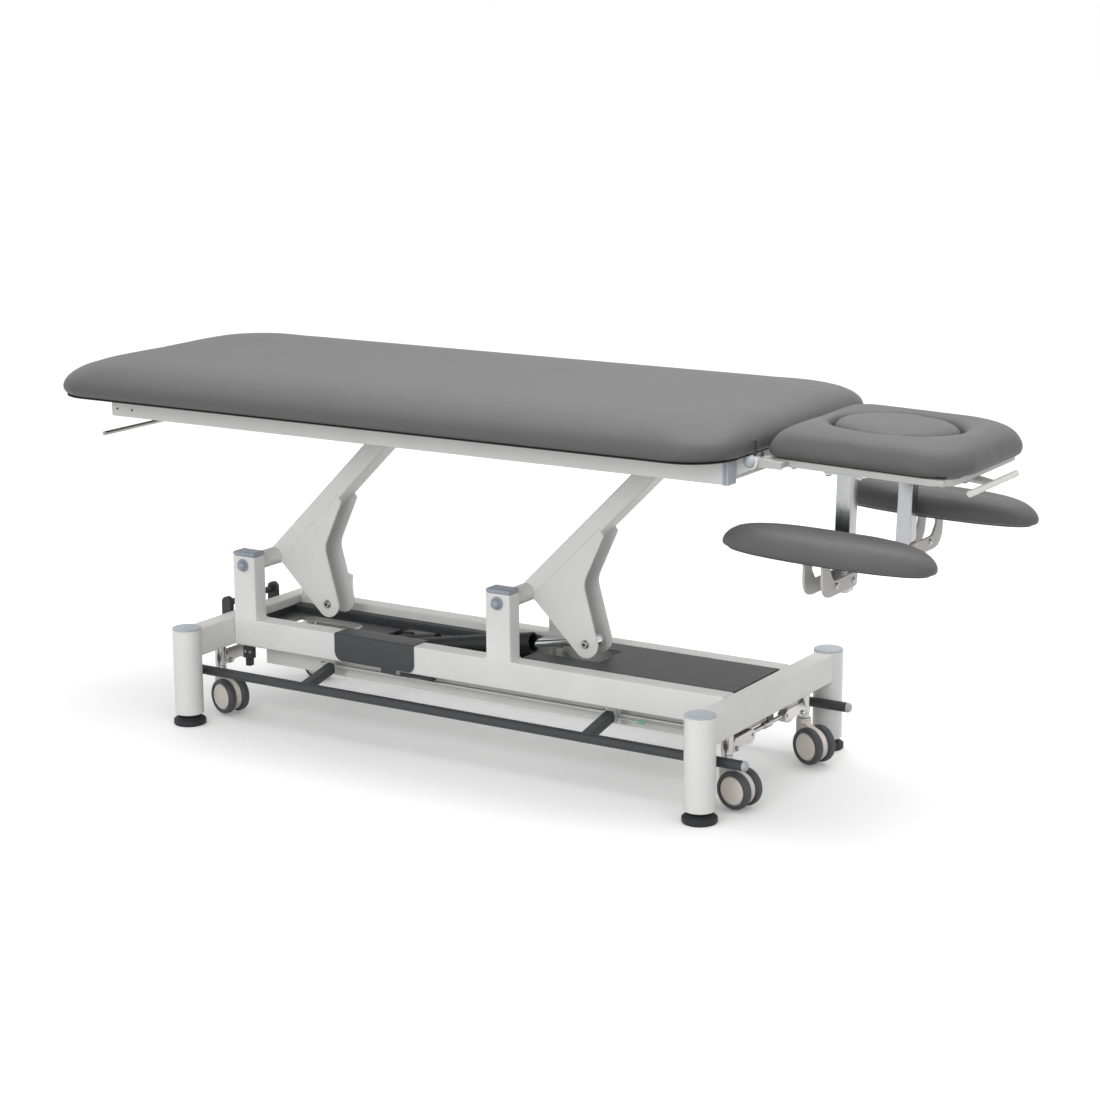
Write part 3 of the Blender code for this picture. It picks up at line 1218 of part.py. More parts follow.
def gas_spring():
    """A cylinder pinned to the bed and a rod pinned to the head frame."""
    hx, hz = GAS_HEAD_PIN
    c, s = cos(HEAD_TILT), sin(HEAD_TILT)
    pin_x = HINGE_X + hx * c + hz * s
    pin_z = HINGE_Z - hx * s + hz * c
    bx, bz = GAS_BED_PIN
    angle = atan2(pin_z - bz, pin_x - bx)
    body_frame = empty("gas_spring_body_axis", (bx - BED_X, GAS_Y, bz - BED_Z), bed, -angle)
    half = GAS_EYE_THICKNESS / 2
    eye = rod(GAS_EYE_RADIUS - 0.001, -half, half, "Y", (0.0, 0.0), COARSE)
    tube = rod(GAS_TUBE_RADIUS, *GAS_TUBE_X, "X", (0.0, 0.0), MEDIUM)
    neck = rod(0.004, 0.0, GAS_TUBE_X[0] + 0.002, "X", (0.0, 0.0), 12)
    bore = rod(GAS_BORE_RADIUS, GAS_BORE_START, GAS_TUBE_X[1] + 0.01, "X", (0.0, 0.0), COARSE)
    pin = rod(GAS_PIN_RADIUS + SEAT, -0.02, 0.02, "Y", (0.0, 0.0), 12)
    place("gas_spring_body", cut(joined(eye, neck, tube), bore, pin), body_frame, BLACK_CAST)
    rod_frame = empty("gas_spring_rod_axis", (hx, GAS_Y, hz), head, -angle - HEAD_TILT)
    eye = rod(GAS_EYE_RADIUS - 0.001, -half, half, "Y", (0.0, 0.0), COARSE)
    shank = rod(GAS_ROD_RADIUS, -GAS_ROD_LENGTH, 0.0, "X", (0.0, 0.0), 12)
    pin = rod(GAS_PIN_RADIUS + SEAT, -0.02, 0.02, "Y", (0.0, 0.0), 12)
    place("gas_spring_rod", cut(joined(eye, shank), pin), rod_frame, STEEL)


release_lever()
gas_spring()


# The table stands with the middle of its outline over the origin

bpy.context.view_layer.update()
spread = [(made.matrix_world @ vertex.co).x for made in parts.objects if made.type == "MESH"
          for vertex in made.data.vertices]
table.location.x = -(min(spread) + max(spread)) / 2
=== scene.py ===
import json
from math import copysign, cos, hypot, radians, sin, tan, tau

import bmesh
import bpy
from mathutils import Matrix, Vector


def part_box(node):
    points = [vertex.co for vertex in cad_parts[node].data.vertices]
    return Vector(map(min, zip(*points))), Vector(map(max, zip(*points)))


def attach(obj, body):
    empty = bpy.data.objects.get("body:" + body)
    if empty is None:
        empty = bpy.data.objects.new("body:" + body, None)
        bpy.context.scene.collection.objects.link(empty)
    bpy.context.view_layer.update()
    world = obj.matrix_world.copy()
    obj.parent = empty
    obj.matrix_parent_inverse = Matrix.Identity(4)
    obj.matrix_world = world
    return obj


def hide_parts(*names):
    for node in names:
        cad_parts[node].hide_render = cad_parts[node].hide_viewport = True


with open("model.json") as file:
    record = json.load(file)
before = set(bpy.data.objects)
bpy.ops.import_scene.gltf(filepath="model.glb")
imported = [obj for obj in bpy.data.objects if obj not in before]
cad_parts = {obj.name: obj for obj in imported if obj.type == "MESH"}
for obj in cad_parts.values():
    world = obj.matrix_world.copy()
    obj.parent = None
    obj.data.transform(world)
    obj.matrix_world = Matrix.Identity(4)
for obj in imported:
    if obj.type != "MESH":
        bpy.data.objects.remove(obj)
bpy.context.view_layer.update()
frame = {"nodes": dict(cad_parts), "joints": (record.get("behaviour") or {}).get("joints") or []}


# Camera, studio light and floor
# The photograph is a long-lens studio shot from the head end's right. A large soft lamp hangs over the
# table, a weak one stands on the camera's side, and the white paper floor runs out of sight. The paper
# throws back less light than it shows, because the room beyond the table is dark in the real studio.

scene = bpy.context.scene


def linear(shade):
    """An sRGB hex colour as the linear colour that a shader's socket takes."""
    parts = [int(shade[i:i + 2], 16) / 255 for i in (1, 3, 5)]
    return [p / 12.92 if p <= 0.04045 else ((p + 0.055) / 1.055) ** 2.4 for p in parts] + [1.0]


def add(tree, kind, links=None, **settings):
    """A node with its settings; a link is a value, a socket, or a node for its first output."""
    node = tree.nodes.new(kind)
    for name, value in settings.items():
        setattr(node, name, value)
    for socket, value in (links or {}).items():
        if isinstance(value, bpy.types.Node):
            value = value.outputs[0]
        if isinstance(value, bpy.types.NodeSocket):
            tree.links.new(value, node.inputs[socket])
        else:
            node.inputs[socket].default_value = value
    return node


def new_material(name):
    """An empty material and its node tree."""
    material = bpy.data.materials.new(name)
    material.use_nodes = True
    material.node_tree.nodes.clear()
    return material, material.node_tree


def in_scene(name, data):
    """A new object of the scene."""
    thing = bpy.data.objects.new(name, data)
    scene.collection.objects.link(thing)
    return thing


eye = bpy.data.cameras.new("photo_camera")
eye.lens, eye.sensor_width = 81.98, 36.0
eye.clip_end = 60.0
camera = in_scene("photo_camera", eye)
camera.matrix_world = (Matrix.Translation((2.65815, -4.14223, 1.54201))
    @ Matrix.Rotation(radians(32.3001626), 4, "Z") @ Matrix.Rotation(radians(90 - 13.04584662), 4, "X")
    @ Matrix.Rotation(radians(-0.43836158), 4, "Z"))
scene.camera = camera
scene.view_settings.view_transform = "Standard"

world = bpy.data.worlds.new("studio_room")
scene.world = world
world.use_nodes = True
room = world.node_tree
room.nodes.clear()
path = add(room, "ShaderNodeLightPath")
seen = add(room, "ShaderNodeMath", {0: path.outputs["Is Camera Ray"], 1: path.outputs["Is Transmission Ray"]},
    operation="MAXIMUM")
around = add(room, "ShaderNodeTexCoord")
upward = add(room, "ShaderNodeSeparateXYZ", {0: around.outputs["Generated"]})
ramp = add(room, "ShaderNodeMapRange", {"Value": upward.outputs["Z"], "From Min": -0.25, "From Max": 0.8,
    "To Min": 0.72})
strength = add(room, "ShaderNodeMix", {"Factor": seen, "A": ramp, "B": 1.0})
glow = add(room, "ShaderNodeBackground", {"Color": linear("#ffffff"), "Strength": strength})
add(room, "ShaderNodeOutputWorld", {"Surface": glow})


def softbox(name, place, aim, size, watts):
    """A square area lamp that looks at a point."""
    lamp = bpy.data.lights.new(name, "AREA")
    lamp.shape, lamp.size, lamp.energy = "SQUARE", size, watts
    holder = in_scene(name, lamp)
    holder.location = place
    holder.rotation_euler = (Vector(aim) - Vector(place)).to_track_quat("-Z", "Y").to_euler()


softbox("overhead_softbox", (0.5, 0.6, 3.4), (0.0, 0.0, 0.4), 2.6, 68)
softbox("front_softbox", (0.6, -4.2, 1.9), (0.0, 0.0, 0.4), 2.0, 46)

floor_mesh = bpy.data.meshes.new("studio_floor")
floor_mesh.from_pydata([(-30, -30, 0), (30, -30, 0), (30, 30, 0), (-30, 30, 0)], [], [(0, 1, 2, 3)])
floor = in_scene("studio_floor", floor_mesh)
white_floor, tree = new_material("white studio floor")
matt = add(tree, "ShaderNodeBsdfDiffuse", {"Color": linear("#a6a6a6")})
paper = add(tree, "ShaderNodeBsdfDiffuse", {"Color": linear("#fdfdfd")})
lit = add(tree, "ShaderNodeEmission", {"Color": linear("#ffffff"), "Strength": 0.1})
shown = add(tree, "ShaderNodeAddShader", {0: paper, 1: lit})
path = add(tree, "ShaderNodeLightPath")
looked = add(tree, "ShaderNodeMath", {0: path.outputs["Is Camera Ray"], 1: path.outputs["Is Glossy Ray"]},
    operation="MAXIMUM")
either = add(tree, "ShaderNodeMixShader", {0: looked, 1: matt, 2: shown})
add(tree, "ShaderNodeOutputMaterial", {"Surface": either})
floor_mesh.materials.append(white_floor)


# Base frame
# Legs, crossbeams, rails and posts are welded steel tube with a fine-grained polyester powder coat. The
# coat leaves every edge round and gives a soft, low sheen with the slightest orange peel.

def clouded(tree, coordinates, shade, size, detail, drift):
    """A colour that drifts a little lighter and darker in soft clouds."""
    cloud = add(tree, "ShaderNodeTexNoise", {"Vector": coordinates, "Scale": 1 / size, "Detail": detail})
    tone = add(tree, "ShaderNodeMapRange", {"Value": cloud, "From Min": 0.3, "From Max": 0.7,
        "To Min": 1 - drift, "To Max": 1 + drift})
    return add(tree, "ShaderNodeVectorMath", {0: linear(shade)[:3], "Scale": tone}, operation="SCALE")


def powder_coat(name, shade, roughness, grain, depth):
    """Baked powder paint: an even colour, a faint orange peel and a broad sheen."""
    material, tree = new_material(name)
    coordinates = add(tree, "ShaderNodeTexCoord").outputs["Object"]
    peel = add(tree, "ShaderNodeTexNoise", {"Vector": coordinates, "Scale": 1 / grain, "Detail": 2.0})
    colour = clouded(tree, coordinates, shade, 0.11, 3.0, 0.03)
    rough = add(tree, "ShaderNodeMapRange", {"Value": peel, "From Min": 0.3, "From Max": 0.7,
        "To Min": roughness - 0.04, "To Max": roughness + 0.04})
    bump = add(tree, "ShaderNodeBump", {"Height": peel, "Strength": 0.35, "Distance": depth})
    shader = add(tree, "ShaderNodeBsdfPrincipled", {"Base Color": colour, "Roughness": rough, "IOR": 1.5,
        "Normal": bump})
    add(tree, "ShaderNodeOutputMaterial", {"Surface": shader})
    return material


def settle(piece):
    """Applies what the modifiers make to the piece's own mesh."""
    bpy.context.view_layer.update()
    made = bpy.data.meshes.new_from_object(piece.evaluated_get(bpy.context.evaluated_depsgraph_get()))
    piece.modifiers.clear()
    piece.data = made


def finished(name, shape, body, finishes, nodes, edge, crease, segments=2):
    """A shape as a piece with rounded edges, its finishes, its body and the nodes that it replaces."""
    for face in shape.faces:
        face.smooth = True
    for joint in shape.edges:
        joint.smooth = joint.is_manifold and joint.calc_face_angle(3.2) < radians(crease)
    mesh = bpy.data.meshes.new(name)
    shape.to_mesh(mesh)
    shape.free()
    piece = in_scene(name, mesh)
    for finish in finishes:
        mesh.materials.append(finish)
    if edge:
        rounding = piece.modifiers.new("edge", "BEVEL")
        rounding.width, rounding.segments = edge, segments
        rounding.limit_method, rounding.angle_limit = "ANGLE", radians(crease)
        rounding.use_clamp_overlap = True
    piece.modifiers.new("weights", "WEIGHTED_NORMAL").keep_sharp = True
    settle(piece)
    if nodes:
        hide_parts(*nodes)
    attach(piece, body)
    return piece


def dressed(node, body, material, edge=0.0008, crease=50.0):
    """A CAD node's own shape with its corners merged and its edges rounded. It replaces the node."""
    source = frame["nodes"][node].data
    copy = bpy.data.meshes.new(node)
    copy.from_pydata([v.co for v in source.vertices], [], [p.vertices for p in source.polygons])
    shell = bmesh.new()
    shell.from_mesh(copy)
    bpy.data.meshes.remove(copy)
    bmesh.ops.remove_doubles(shell, verts=shell.verts, dist=0.00001)
    bmesh.ops.dissolve_limit(shell, angle_limit=radians(0.5), verts=shell.verts, edges=shell.edges)
    return finished(node + "_skin", shell, body, [material], [node], edge, crease)


def lines(name, paths, closed=False):
    """A mesh of bare polylines, for a tree that follows them."""
    points, edges = [], []
    for path in paths:
        start = len(points)
        points += [tuple(point) for point in path]
        edges += [(start + k, start + k + 1) for k in range(len(path) - 1)]
        if closed:
            edges.append((len(points) - 1, start))
    mesh = bpy.data.meshes.new(name)
    mesh.from_pydata(points, edges, [])
    return mesh


def grown(name, source, tree, body, closed=False, **values):
    """What a Geometry Nodes tree makes of a mesh or of polylines, as a plain mesh that rides on a body."""
    piece = in_scene(name, lines(name, source, closed) if isinstance(source, list) else source)
    maker = piece.modifiers.new("maker", "NODES")
    maker.node_group = tree
    for item in tree.interface.items_tree:
        if item.item_type == "SOCKET" and item.in_out == "INPUT" and item.name in values:
            maker[item.identifier] = values[item.name]
    settle(piece)
    piece.data.shade_smooth()
    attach(piece, body)
    return piece


def maker_tree(name, sizes):
    """A Geometry Nodes tree with a geometry and the named sizes as inputs, and its input node."""
    tree = bpy.data.node_groups.new(name, "GeometryNodeTree")
    tree.interface.new_socket("Geometry", in_out="INPUT", socket_type="NodeSocketGeometry")
    for size, value in sizes.items():
        tree.interface.new_socket(size, in_out="INPUT", socket_type="NodeSocketFloat").default_value = value
    tree.interface.new_socket("Geometry", in_out="OUTPUT", socket_type="NodeSocketGeometry")
    return tree, tree.nodes.new("NodeGroupInput")


def ended(tree, geometry, material=None):
    """The tree's end: the instances made real, the material set and the geometry handed out."""
    real = add(tree, "GeometryNodeRealizeInstances", {"Geometry": geometry})
    if material:
        real = add(tree, "GeometryNodeSetMaterial", {"Geometry": real, "Material": material})
    add(tree, "NodeGroupOutput", {0: real})


white_paint = powder_coat("light grey powder coat", "#e8e8e6", 0.42, 0.0016, 0.0003)
for node in ("foot_crossbeam", "head_crossbeam", "base_rail_left", "base_rail_right"):
    dressed(node, "base", white_paint)

bead_tree, given = maker_tree("weld bead", {"Radius": 0.0015, "Ripple": 0.003})
path = add(bead_tree, "GeometryNodeMeshToCurve", {"Mesh": given})
path = add(bead_tree, "GeometryNodeResampleCurve", {"Curve": path, "Length": given.outputs["Ripple"]},
    mode="LENGTH")
swell = add(bead_tree, "FunctionNodeRandomValue", {"Min": 0.75, "Max": 1.15, "Seed": 7}, data_type="FLOAT")
round_bead = add(bead_tree, "GeometryNodeCurvePrimitiveCircle", {"Resolution": 8,
    "Radius": given.outputs["Radius"]})
path = add(bead_tree, "GeometryNodeSetCurveRadius", {"Curve": path, "Radius": swell.outputs[1]})
bead = add(bead_tree, "GeometryNodeCurveToMesh", {"Curve": path, "Profile Curve": round_bead,
    "Fill Caps": True})
ended(bead_tree, bead, white_paint)

seams = []
for way in (-1, 1):
    for x in (-0.6625, 0.5015):
        seams.append([(x, way * 0.1365, 0.15), (x, way * 0.1365, 0.198)])
    for post in (-0.6413, 0.0007):
        for x in (post - 0.029, post + 0.029):
            seams.append([(x, way * 0.136, 0.2045), (x, way * 0.098, 0.2045)])
grown("base_weld_beads", seams, bead_tree, "base", Radius=0.0016, Ripple=0.0025)


# Tube caps
# Blue-grey polyamide plugs close the posts and legs. They are injection moulded, with a satin spark-eroded
# skin.

def moulded(name, shade, roughness, grain=0.0009):
    """Injection-moulded plastic, whose fine spark-eroded skin blurs the highlights."""
    material, tree = new_material(name)
    coordinates = add(tree, "ShaderNodeTexCoord").outputs["Object"]
    skin = add(tree, "ShaderNodeTexNoise", {"Vector": coordinates, "Scale": 1 / grain, "Detail": 3.0})
    colour = clouded(tree, coordinates, shade, 0.03, 2.0, 0.05)
    bump = add(tree, "ShaderNodeBump", {"Height": skin, "Strength": 0.3, "Distance": 0.0002})
    shader = add(tree, "ShaderNodeBsdfPrincipled", {"Base Color": colour, "Roughness": roughness, "IOR": 1.53,
        "Normal": bump})
    add(tree, "ShaderNodeOutputMaterial", {"Surface": shader})
    return material


blue_grey = moulded("blue-grey polyamide", "#9ba4af", 0.4)
pale_blue_grey = moulded("pale blue-grey polyamide", "#b9c1c8", 0.36)
CORNERS = ("foot_left", "foot_right", "head_left", "head_right")
for corner in CORNERS:
    dressed(f"post_cap_{corner}", "base", blue_grey, 0.0022)
    dressed(f"leg_cap_{corner}", "base", pale_blue_grey, 0.0012)


# Levelling feet
# Turned black rubber shoes on zinc-plated threaded stems; the rubber is matt and slightly dusty.

black_rubber = moulded("moulded black rubber", "#1d1e20", 0.62, 0.0012)
# Zinc plate on a rolled thread: a bright metal whose gloss is patchy
stem_steel, tree = new_material("zinc-plated stem thread")
rolled = add(tree, "ShaderNodeTexNoise", {"Vector": add(tree, "ShaderNodeTexCoord").outputs["Object"],
    "Scale": 700.0})
gloss = add(tree, "ShaderNodeMapRange", {"Value": rolled, "To Min": 0.22, "To Max": 0.46})
plated = add(tree, "ShaderNodeBsdfPrincipled", {"Base Color": linear("#b8b9b7"), "Metallic": 1.0,
    "Roughness": gloss})
add(tree, "ShaderNodeOutputMaterial", {"Surface": plated})
thread_tree, given = maker_tree("stem thread", {"Radius": 0.0058, "Pitch": 0.00125, "Height": 0.003})
turns = add(thread_tree, "ShaderNodeMath", {0: given.outputs["Height"], 1: given.outputs["Pitch"]},
    operation="DIVIDE")
helix = add(thread_tree, "GeometryNodeCurveSpiral", {"Resolution": 24, "Rotations": turns,
    "Start Radius": given.outputs["Radius"], "End Radius": given.outputs["Radius"],
    "Height": given.outputs["Height"]})
wire = add(thread_tree, "GeometryNodeCurvePrimitiveCircle", {"Resolution": 5, "Radius": 0.0004})
ridge = add(thread_tree, "GeometryNodeCurveToMesh", {"Curve": helix, "Profile Curve": wire,
    "Fill Caps": True})
placed = add(thread_tree, "GeometryNodeInstanceOnPoints", {"Points": given, "Instance": ridge})
ended(thread_tree, placed, stem_steel)
for corner in CORNERS:
    foot = f"levelling_foot_{corner}"
    shoe = dressed(foot, foot, black_rubber)
    shoe.data.materials.append(stem_steel)
    low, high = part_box(foot)
    middle = (low + high) / 2
    for face in shoe.data.polygons:
        reach = hypot(face.center.x - middle.x, face.center.y - middle.y)
        face.material_index = int(reach < 0.0075 and face.center.z > 0.0195)
    grown(f"{foot}_thread", [[(middle.x, middle.y, 0.0205)]], thread_tree, foot, Radius=0.0058, Pitch=0.00125,
        Height=0.003)


# Covers
# Folded steel sheet with a graphite powder coat of a coarser grain. The foot tray lies below the rails,
# with a long well under the lift; its side plate is bent over the near rail and runs down into the well.

def wall_into(shape, low, high):
    """The faces between two rings of as many corners."""
    count = len(low)
    return [shape.faces.new((low[k], low[(k + 1) % count], high[(k + 1) % count], high[k]))
        for k in range(count)]


def spin_into(shape, profile, place, steps=64, slots=0):
    """A profile of (radius, height) turned about local Z; slots is its finish, or one for each band."""
    rows = []
    for radius, height in profile:
        if radius < 1e-7:
            rows.append([shape.verts.new(place @ Vector((0, 0, height)))])
            continue
        circle = [(radius * cos(tau * k / steps), radius * sin(tau * k / steps), height)
            for k in range(steps)]
        rows.append([shape.verts.new(place @ Vector(point)) for point in circle])
    for band, (low, high) in enumerate(zip(rows, rows[1:])):
        for k in range(steps):
            corners = []
            for row, index in ((low, k), (low, k + 1), (high, k + 1), (high, k)):
                vertex = row[index % len(row)]
                if vertex not in corners:
                    corners.append(vertex)
            face = shape.faces.new(corners)
            face.material_index = slots if isinstance(slots, int) else slots[band]


def plate_into(shape, outline, low, high, place, slot=0):
    """A flat plate between two local heights, from an outline that a matrix or a function places."""
    at = place if callable(place) else lambda x, y, z: place @ Vector((x, y, z))
    bottom, top = [[shape.verts.new(at(x, y, z)) for x, y in outline] for z in (low, high)]
    for face in [shape.faces.new(reversed(bottom)), shape.faces.new(top), *wall_into(shape, bottom, top)]:
        face.material_index = slot


def box_into(shape, low, high, slot=0):
    """A rectangular block between two corners."""
    (x0, y0, z0), (x1, y1, z1) = low, high
    plate_into(shape, [(x0, y0), (x1, y0), (x1, y1), (x0, y1)], z0, z1, Matrix(), slot)


def rounded_corners(corners, steps=5):
    """An outline whose corners (x, y, radius) are turned into arcs."""
    points = []
    for k, (x, y, r) in enumerate(corners):
        here = Vector((x, y))
        if r <= 0:
            points.append((x, y))
            continue
        before = (Vector(corners[k - 1][:2]) - here).normalized()
        after = (Vector(corners[(k + 1) % len(corners)][:2]) - here).normalized()
        half = before.angle(after) / 2
        middle = here + (before + after).normalized() * (r / sin(half))
        first, last = here + before * (r / tan(half)) - middle, here + after * (r / tan(half)) - middle
        turn = first.angle_signed(last)
        for step in range(steps + 1):
            arm = first.copy()
            arm.rotate(Matrix.Rotation(-turn * step / steps, 2))
            points.append(tuple(middle + arm))
    return points


def piece_from(name, shape, body, finishes, nodes=(), edge=0.0006, segments=2):
    """A finished piece from a shape whose faces are first turned outwards."""
    bmesh.ops.recalc_face_normals(shape, faces=shape.faces)
    return finished(name, shape, body, finishes, nodes, edge, 38.0, segments)


JOINT = {joint["name"]: joint for joint in frame["joints"]}


def axis_place(origin, axis, toward=(0.0, 0.0, 1.0)):
    """A frame at a point whose local Z runs along an axis and whose local Y leans toward a direction."""
    z = Vector(axis).normalized()
    x = Vector(toward).cross(z).normalized()
    y = z.cross(x)
    turn = Matrix((x, y, z)).transposed().to_4x4()
    return Matrix.Translation(Vector(origin)) @ turn


def sheet_along(shape, section, x_low, x_high, thickness):
    """A bent sheet along X, from its section in Y and Z, with its thickness to the left of that line."""
    back = []
    for k, (y, z) in enumerate(section):
        line = (Vector(section[min(k + 1, len(section) - 1)]) - Vector(section[max(k - 1, 0)])).normalized()
        back.insert(0, (y - line.y * thickness, z + line.x * thickness))
    near, far = [[shape.verts.new((x, y, z)) for y, z in section + back] for x in (x_low, x_high)]
    wall_into(shape, near, far)
    shape.faces.new(near)
    shape.faces.new(reversed(far))


def pierced_into(shape, outline, holes, low, high):
    """A level sheet with holes, between two heights."""
    edges = []
    for loop in (outline, *holes):
        ring = [shape.verts.new((x, y, high)) for x, y in loop]
        edges += [shape.edges.new((ring[k], ring[(k + 1) % len(ring)])) for k in range(len(ring))]
    filled = bmesh.ops.triangle_fill(shape, use_beauty=True, use_dissolve=False, edges=edges)["geom"]
    faces = [item for item in filled if isinstance(item, bmesh.types.BMFace)]
    thickened = bmesh.ops.extrude_face_region(shape, geom=faces)["geom"]
    lowered = [item for item in thickened if isinstance(item, bmesh.types.BMVert)]
    bmesh.ops.translate(shape, verts=lowered, vec=(0, 0, low - high))


graphite = powder_coat("graphite textured powder coat", "#3f4042", 0.48, 0.001, 0.0004)
dressed("head_cover", "base", graphite, 0.0006)
dressed("lower_pan", "base", white_paint, 0.0004)

RAIL_INSIDE = 0.0942
tray_end, well, sheet_top = -0.08, 0.072, 0.173
shape = bmesh.new()
for way in (-1, 1):
    lip = [(way * y, z) for y, z in ((RAIL_INSIDE, sheet_top), (RAIL_INSIDE, 0.1852), (0.093, 0.1864),
        (well + 0.0025, 0.1864), (well, 0.184), (well, 0.1722))]
    sheet_along(shape, lip if way < 0 else lip[::-1], -0.6703, tray_end, 0.0012)
floor_outline = [(-0.669, -well), (tray_end, -well), (tray_end, -0.031), (-0.364, -0.031), (-0.375, -0.02),
    (-0.375, 0.022), (-0.375, well), (-0.669, well)]
lug_hole = rounded_corners([(x, y, 0.04) for x, y in ((-0.64, -0.056), (-0.455, -0.056), (-0.455, 0.056),
    (-0.64, 0.056))], 8)
pierced_into(shape, floor_outline, [lug_hole], 0.1718, sheet_top)
box_into(shape, (-0.25, 0.031, 0.1718), (tray_end, 0.0722, sheet_top))
box_into(shape, (-0.6703, -RAIL_INSIDE, 0.1722), (-0.669, RAIL_INSIDE, 0.1864))
piece_from("foot_tray_sheet", shape, "base", [graphite], ["foot_tray"], 0.0005)

plate_low, plate_high = -0.4043, -0.2033
shape = bmesh.new()
over = [(-0.1383, 0.196), (-0.1383, 0.2022), (-0.1374, 0.2046), (-0.135, 0.2057), (-0.115, 0.2058),
    (-0.095, 0.2057), (-0.088, 0.205), (-0.08, 0.2028), (-0.071, 0.1978), (-0.062, 0.1905), (-0.053, 0.1828),
    (-0.045, 0.1772), (-0.039, 0.1746), (-0.033, 0.1736)]
sheet_along(shape, over, plate_low, plate_high, -0.0015)
face = rounded_corners([(plate_low, 0.197, 0.0), (plate_low, 0.147, 0.02), (-0.2868, 0.147, 0.0),
    (-0.286, 0.137, 0.0015), (-0.25, 0.137, 0.0015), (-0.2492, 0.147, 0.0), (plate_high, 0.147, 0.016),
    (plate_high, 0.197, 0.0)], 8)
upright = Matrix(((1, 0, 0, 0), (0, 0, -1, 0), (0, 1, 0, 0), (0, 0, 0, 1)))
plate_into(shape, face, 0.1368, 0.1383, upright)
piece_from("side_plate", shape, "base", [graphite], (), 0.0005)


# Control box
# A small white limit-switch box, a black relay and a capacitor are screwed to the far rail beside the head
# post.

pale_plastic = moulded("pale grey ABS", "#d8d9d6", 0.42)
dark_plastic = moulded("black ABS", "#303133", 0.45)
shape = bmesh.new()
box_into(shape, (-0.033, 0.052, 0.148), (0.01, RAIL_INSIDE, 0.1965))
box_into(shape, (-0.029, 0.05, 0.156), (0.006, 0.0522, 0.19))
box_into(shape, (-0.075, 0.056, 0.145), (-0.036, RAIL_INSIDE, 0.195), slot=1)
box_into(shape, (-0.07, 0.06, 0.195), (-0.042, 0.09, 0.1985), slot=1)
spin_into(shape, [(0.0, 0.15), (0.01, 0.15), (0.01, 0.18), (0.0092, 0.1822), (0.006, 0.1836), (0.0, 0.184)],
    Matrix.Translation((0.022, 0.064, 0.0)), 32)
box_into(shape, (0.018, 0.07, 0.156), (0.026, RAIL_INSIDE, 0.164))
piece_from("control_box", shape, "base", [pale_plastic, dark_plastic], (), 0.001)


# Pivot shafts
# Turned steel shafts. A washer and a blue-grey domed cap close each end on the post's outer face.

PIVOT_X = {"foot": -0.64126, "head": 0.00074}
PIVOT_HEIGHT = 0.321
half_shaft = [(0.0, 0.1506), (0.0028, 0.1503), (0.0054, 0.1494), (0.0076, 0.1479), (0.0093, 0.1458),
    (0.0102, 0.1432), (0.0105, 0.1405), (0.0105, 0.1394), (0.0134, 0.1392), (0.0136, 0.1386),
    (0.0136, 0.1369), (0.0133, 0.1364), (0.008, 0.1364)]
for end, x in PIVOT_X.items():
    shape = bmesh.new()
    spin_into(shape, half_shaft + [(r, -h) for r, h in reversed(half_shaft)],
        axis_place((x, 0.0, PIVOT_HEIGHT), (0, 1, 0)), 48)
    piece_from(f"pivot_shaft_{end}_turned", shape, "base", [blue_grey], [f"pivot_shaft_{end}"], 0)


# Lift arms
# Box tube on a torque tube, with a gusset plate welded on each side; a socket screw holds each lug's bush.

def bare_metal(name, shade, roughness, grain, along=(1.0, 1.0, 1.0)):
    """Bare or plated metal: fine streaks and an uneven gloss, drawn coarser than the real ones to show."""
    material, tree = new_material(name)
    coordinates = add(tree, "ShaderNodeTexCoord").outputs["Object"]
    turned = add(tree, "ShaderNodeMapping", {"Vector": coordinates, "Scale": along})
    streak = add(tree, "ShaderNodeTexNoise", {"Vector": turned, "Scale": 1 / grain, "Detail": 3.0})
    rough = add(tree, "ShaderNodeMapRange", {"Value": streak, "From Min": 0.3, "From Max": 0.7,
        "To Min": roughness - 0.07, "To Max": roughness + 0.07})
    bump = add(tree, "ShaderNodeBump", {"Height": streak, "Strength": 0.15, "Distance": 0.0001})
    shader = add(tree, "ShaderNodeBsdfPrincipled", {"Base Color": linear(shade), "Metallic": 1.0,
        "Roughness": rough, "Normal": bump})
    add(tree, "ShaderNodeOutputMaterial", {"Surface": shader})
    return material


dressed("lift_arm_foot", "foot_arm", white_paint)
dressed("lift_arm_head", "head_arm", white_paint)

screw_tree, given = maker_tree("button screws", {"Radius": 0.005, "Height": 0.003, "Washer": 0.007})
burnished = bare_metal("zinc-plated screw steel", "#b9bab8", 0.28, 0.0015)
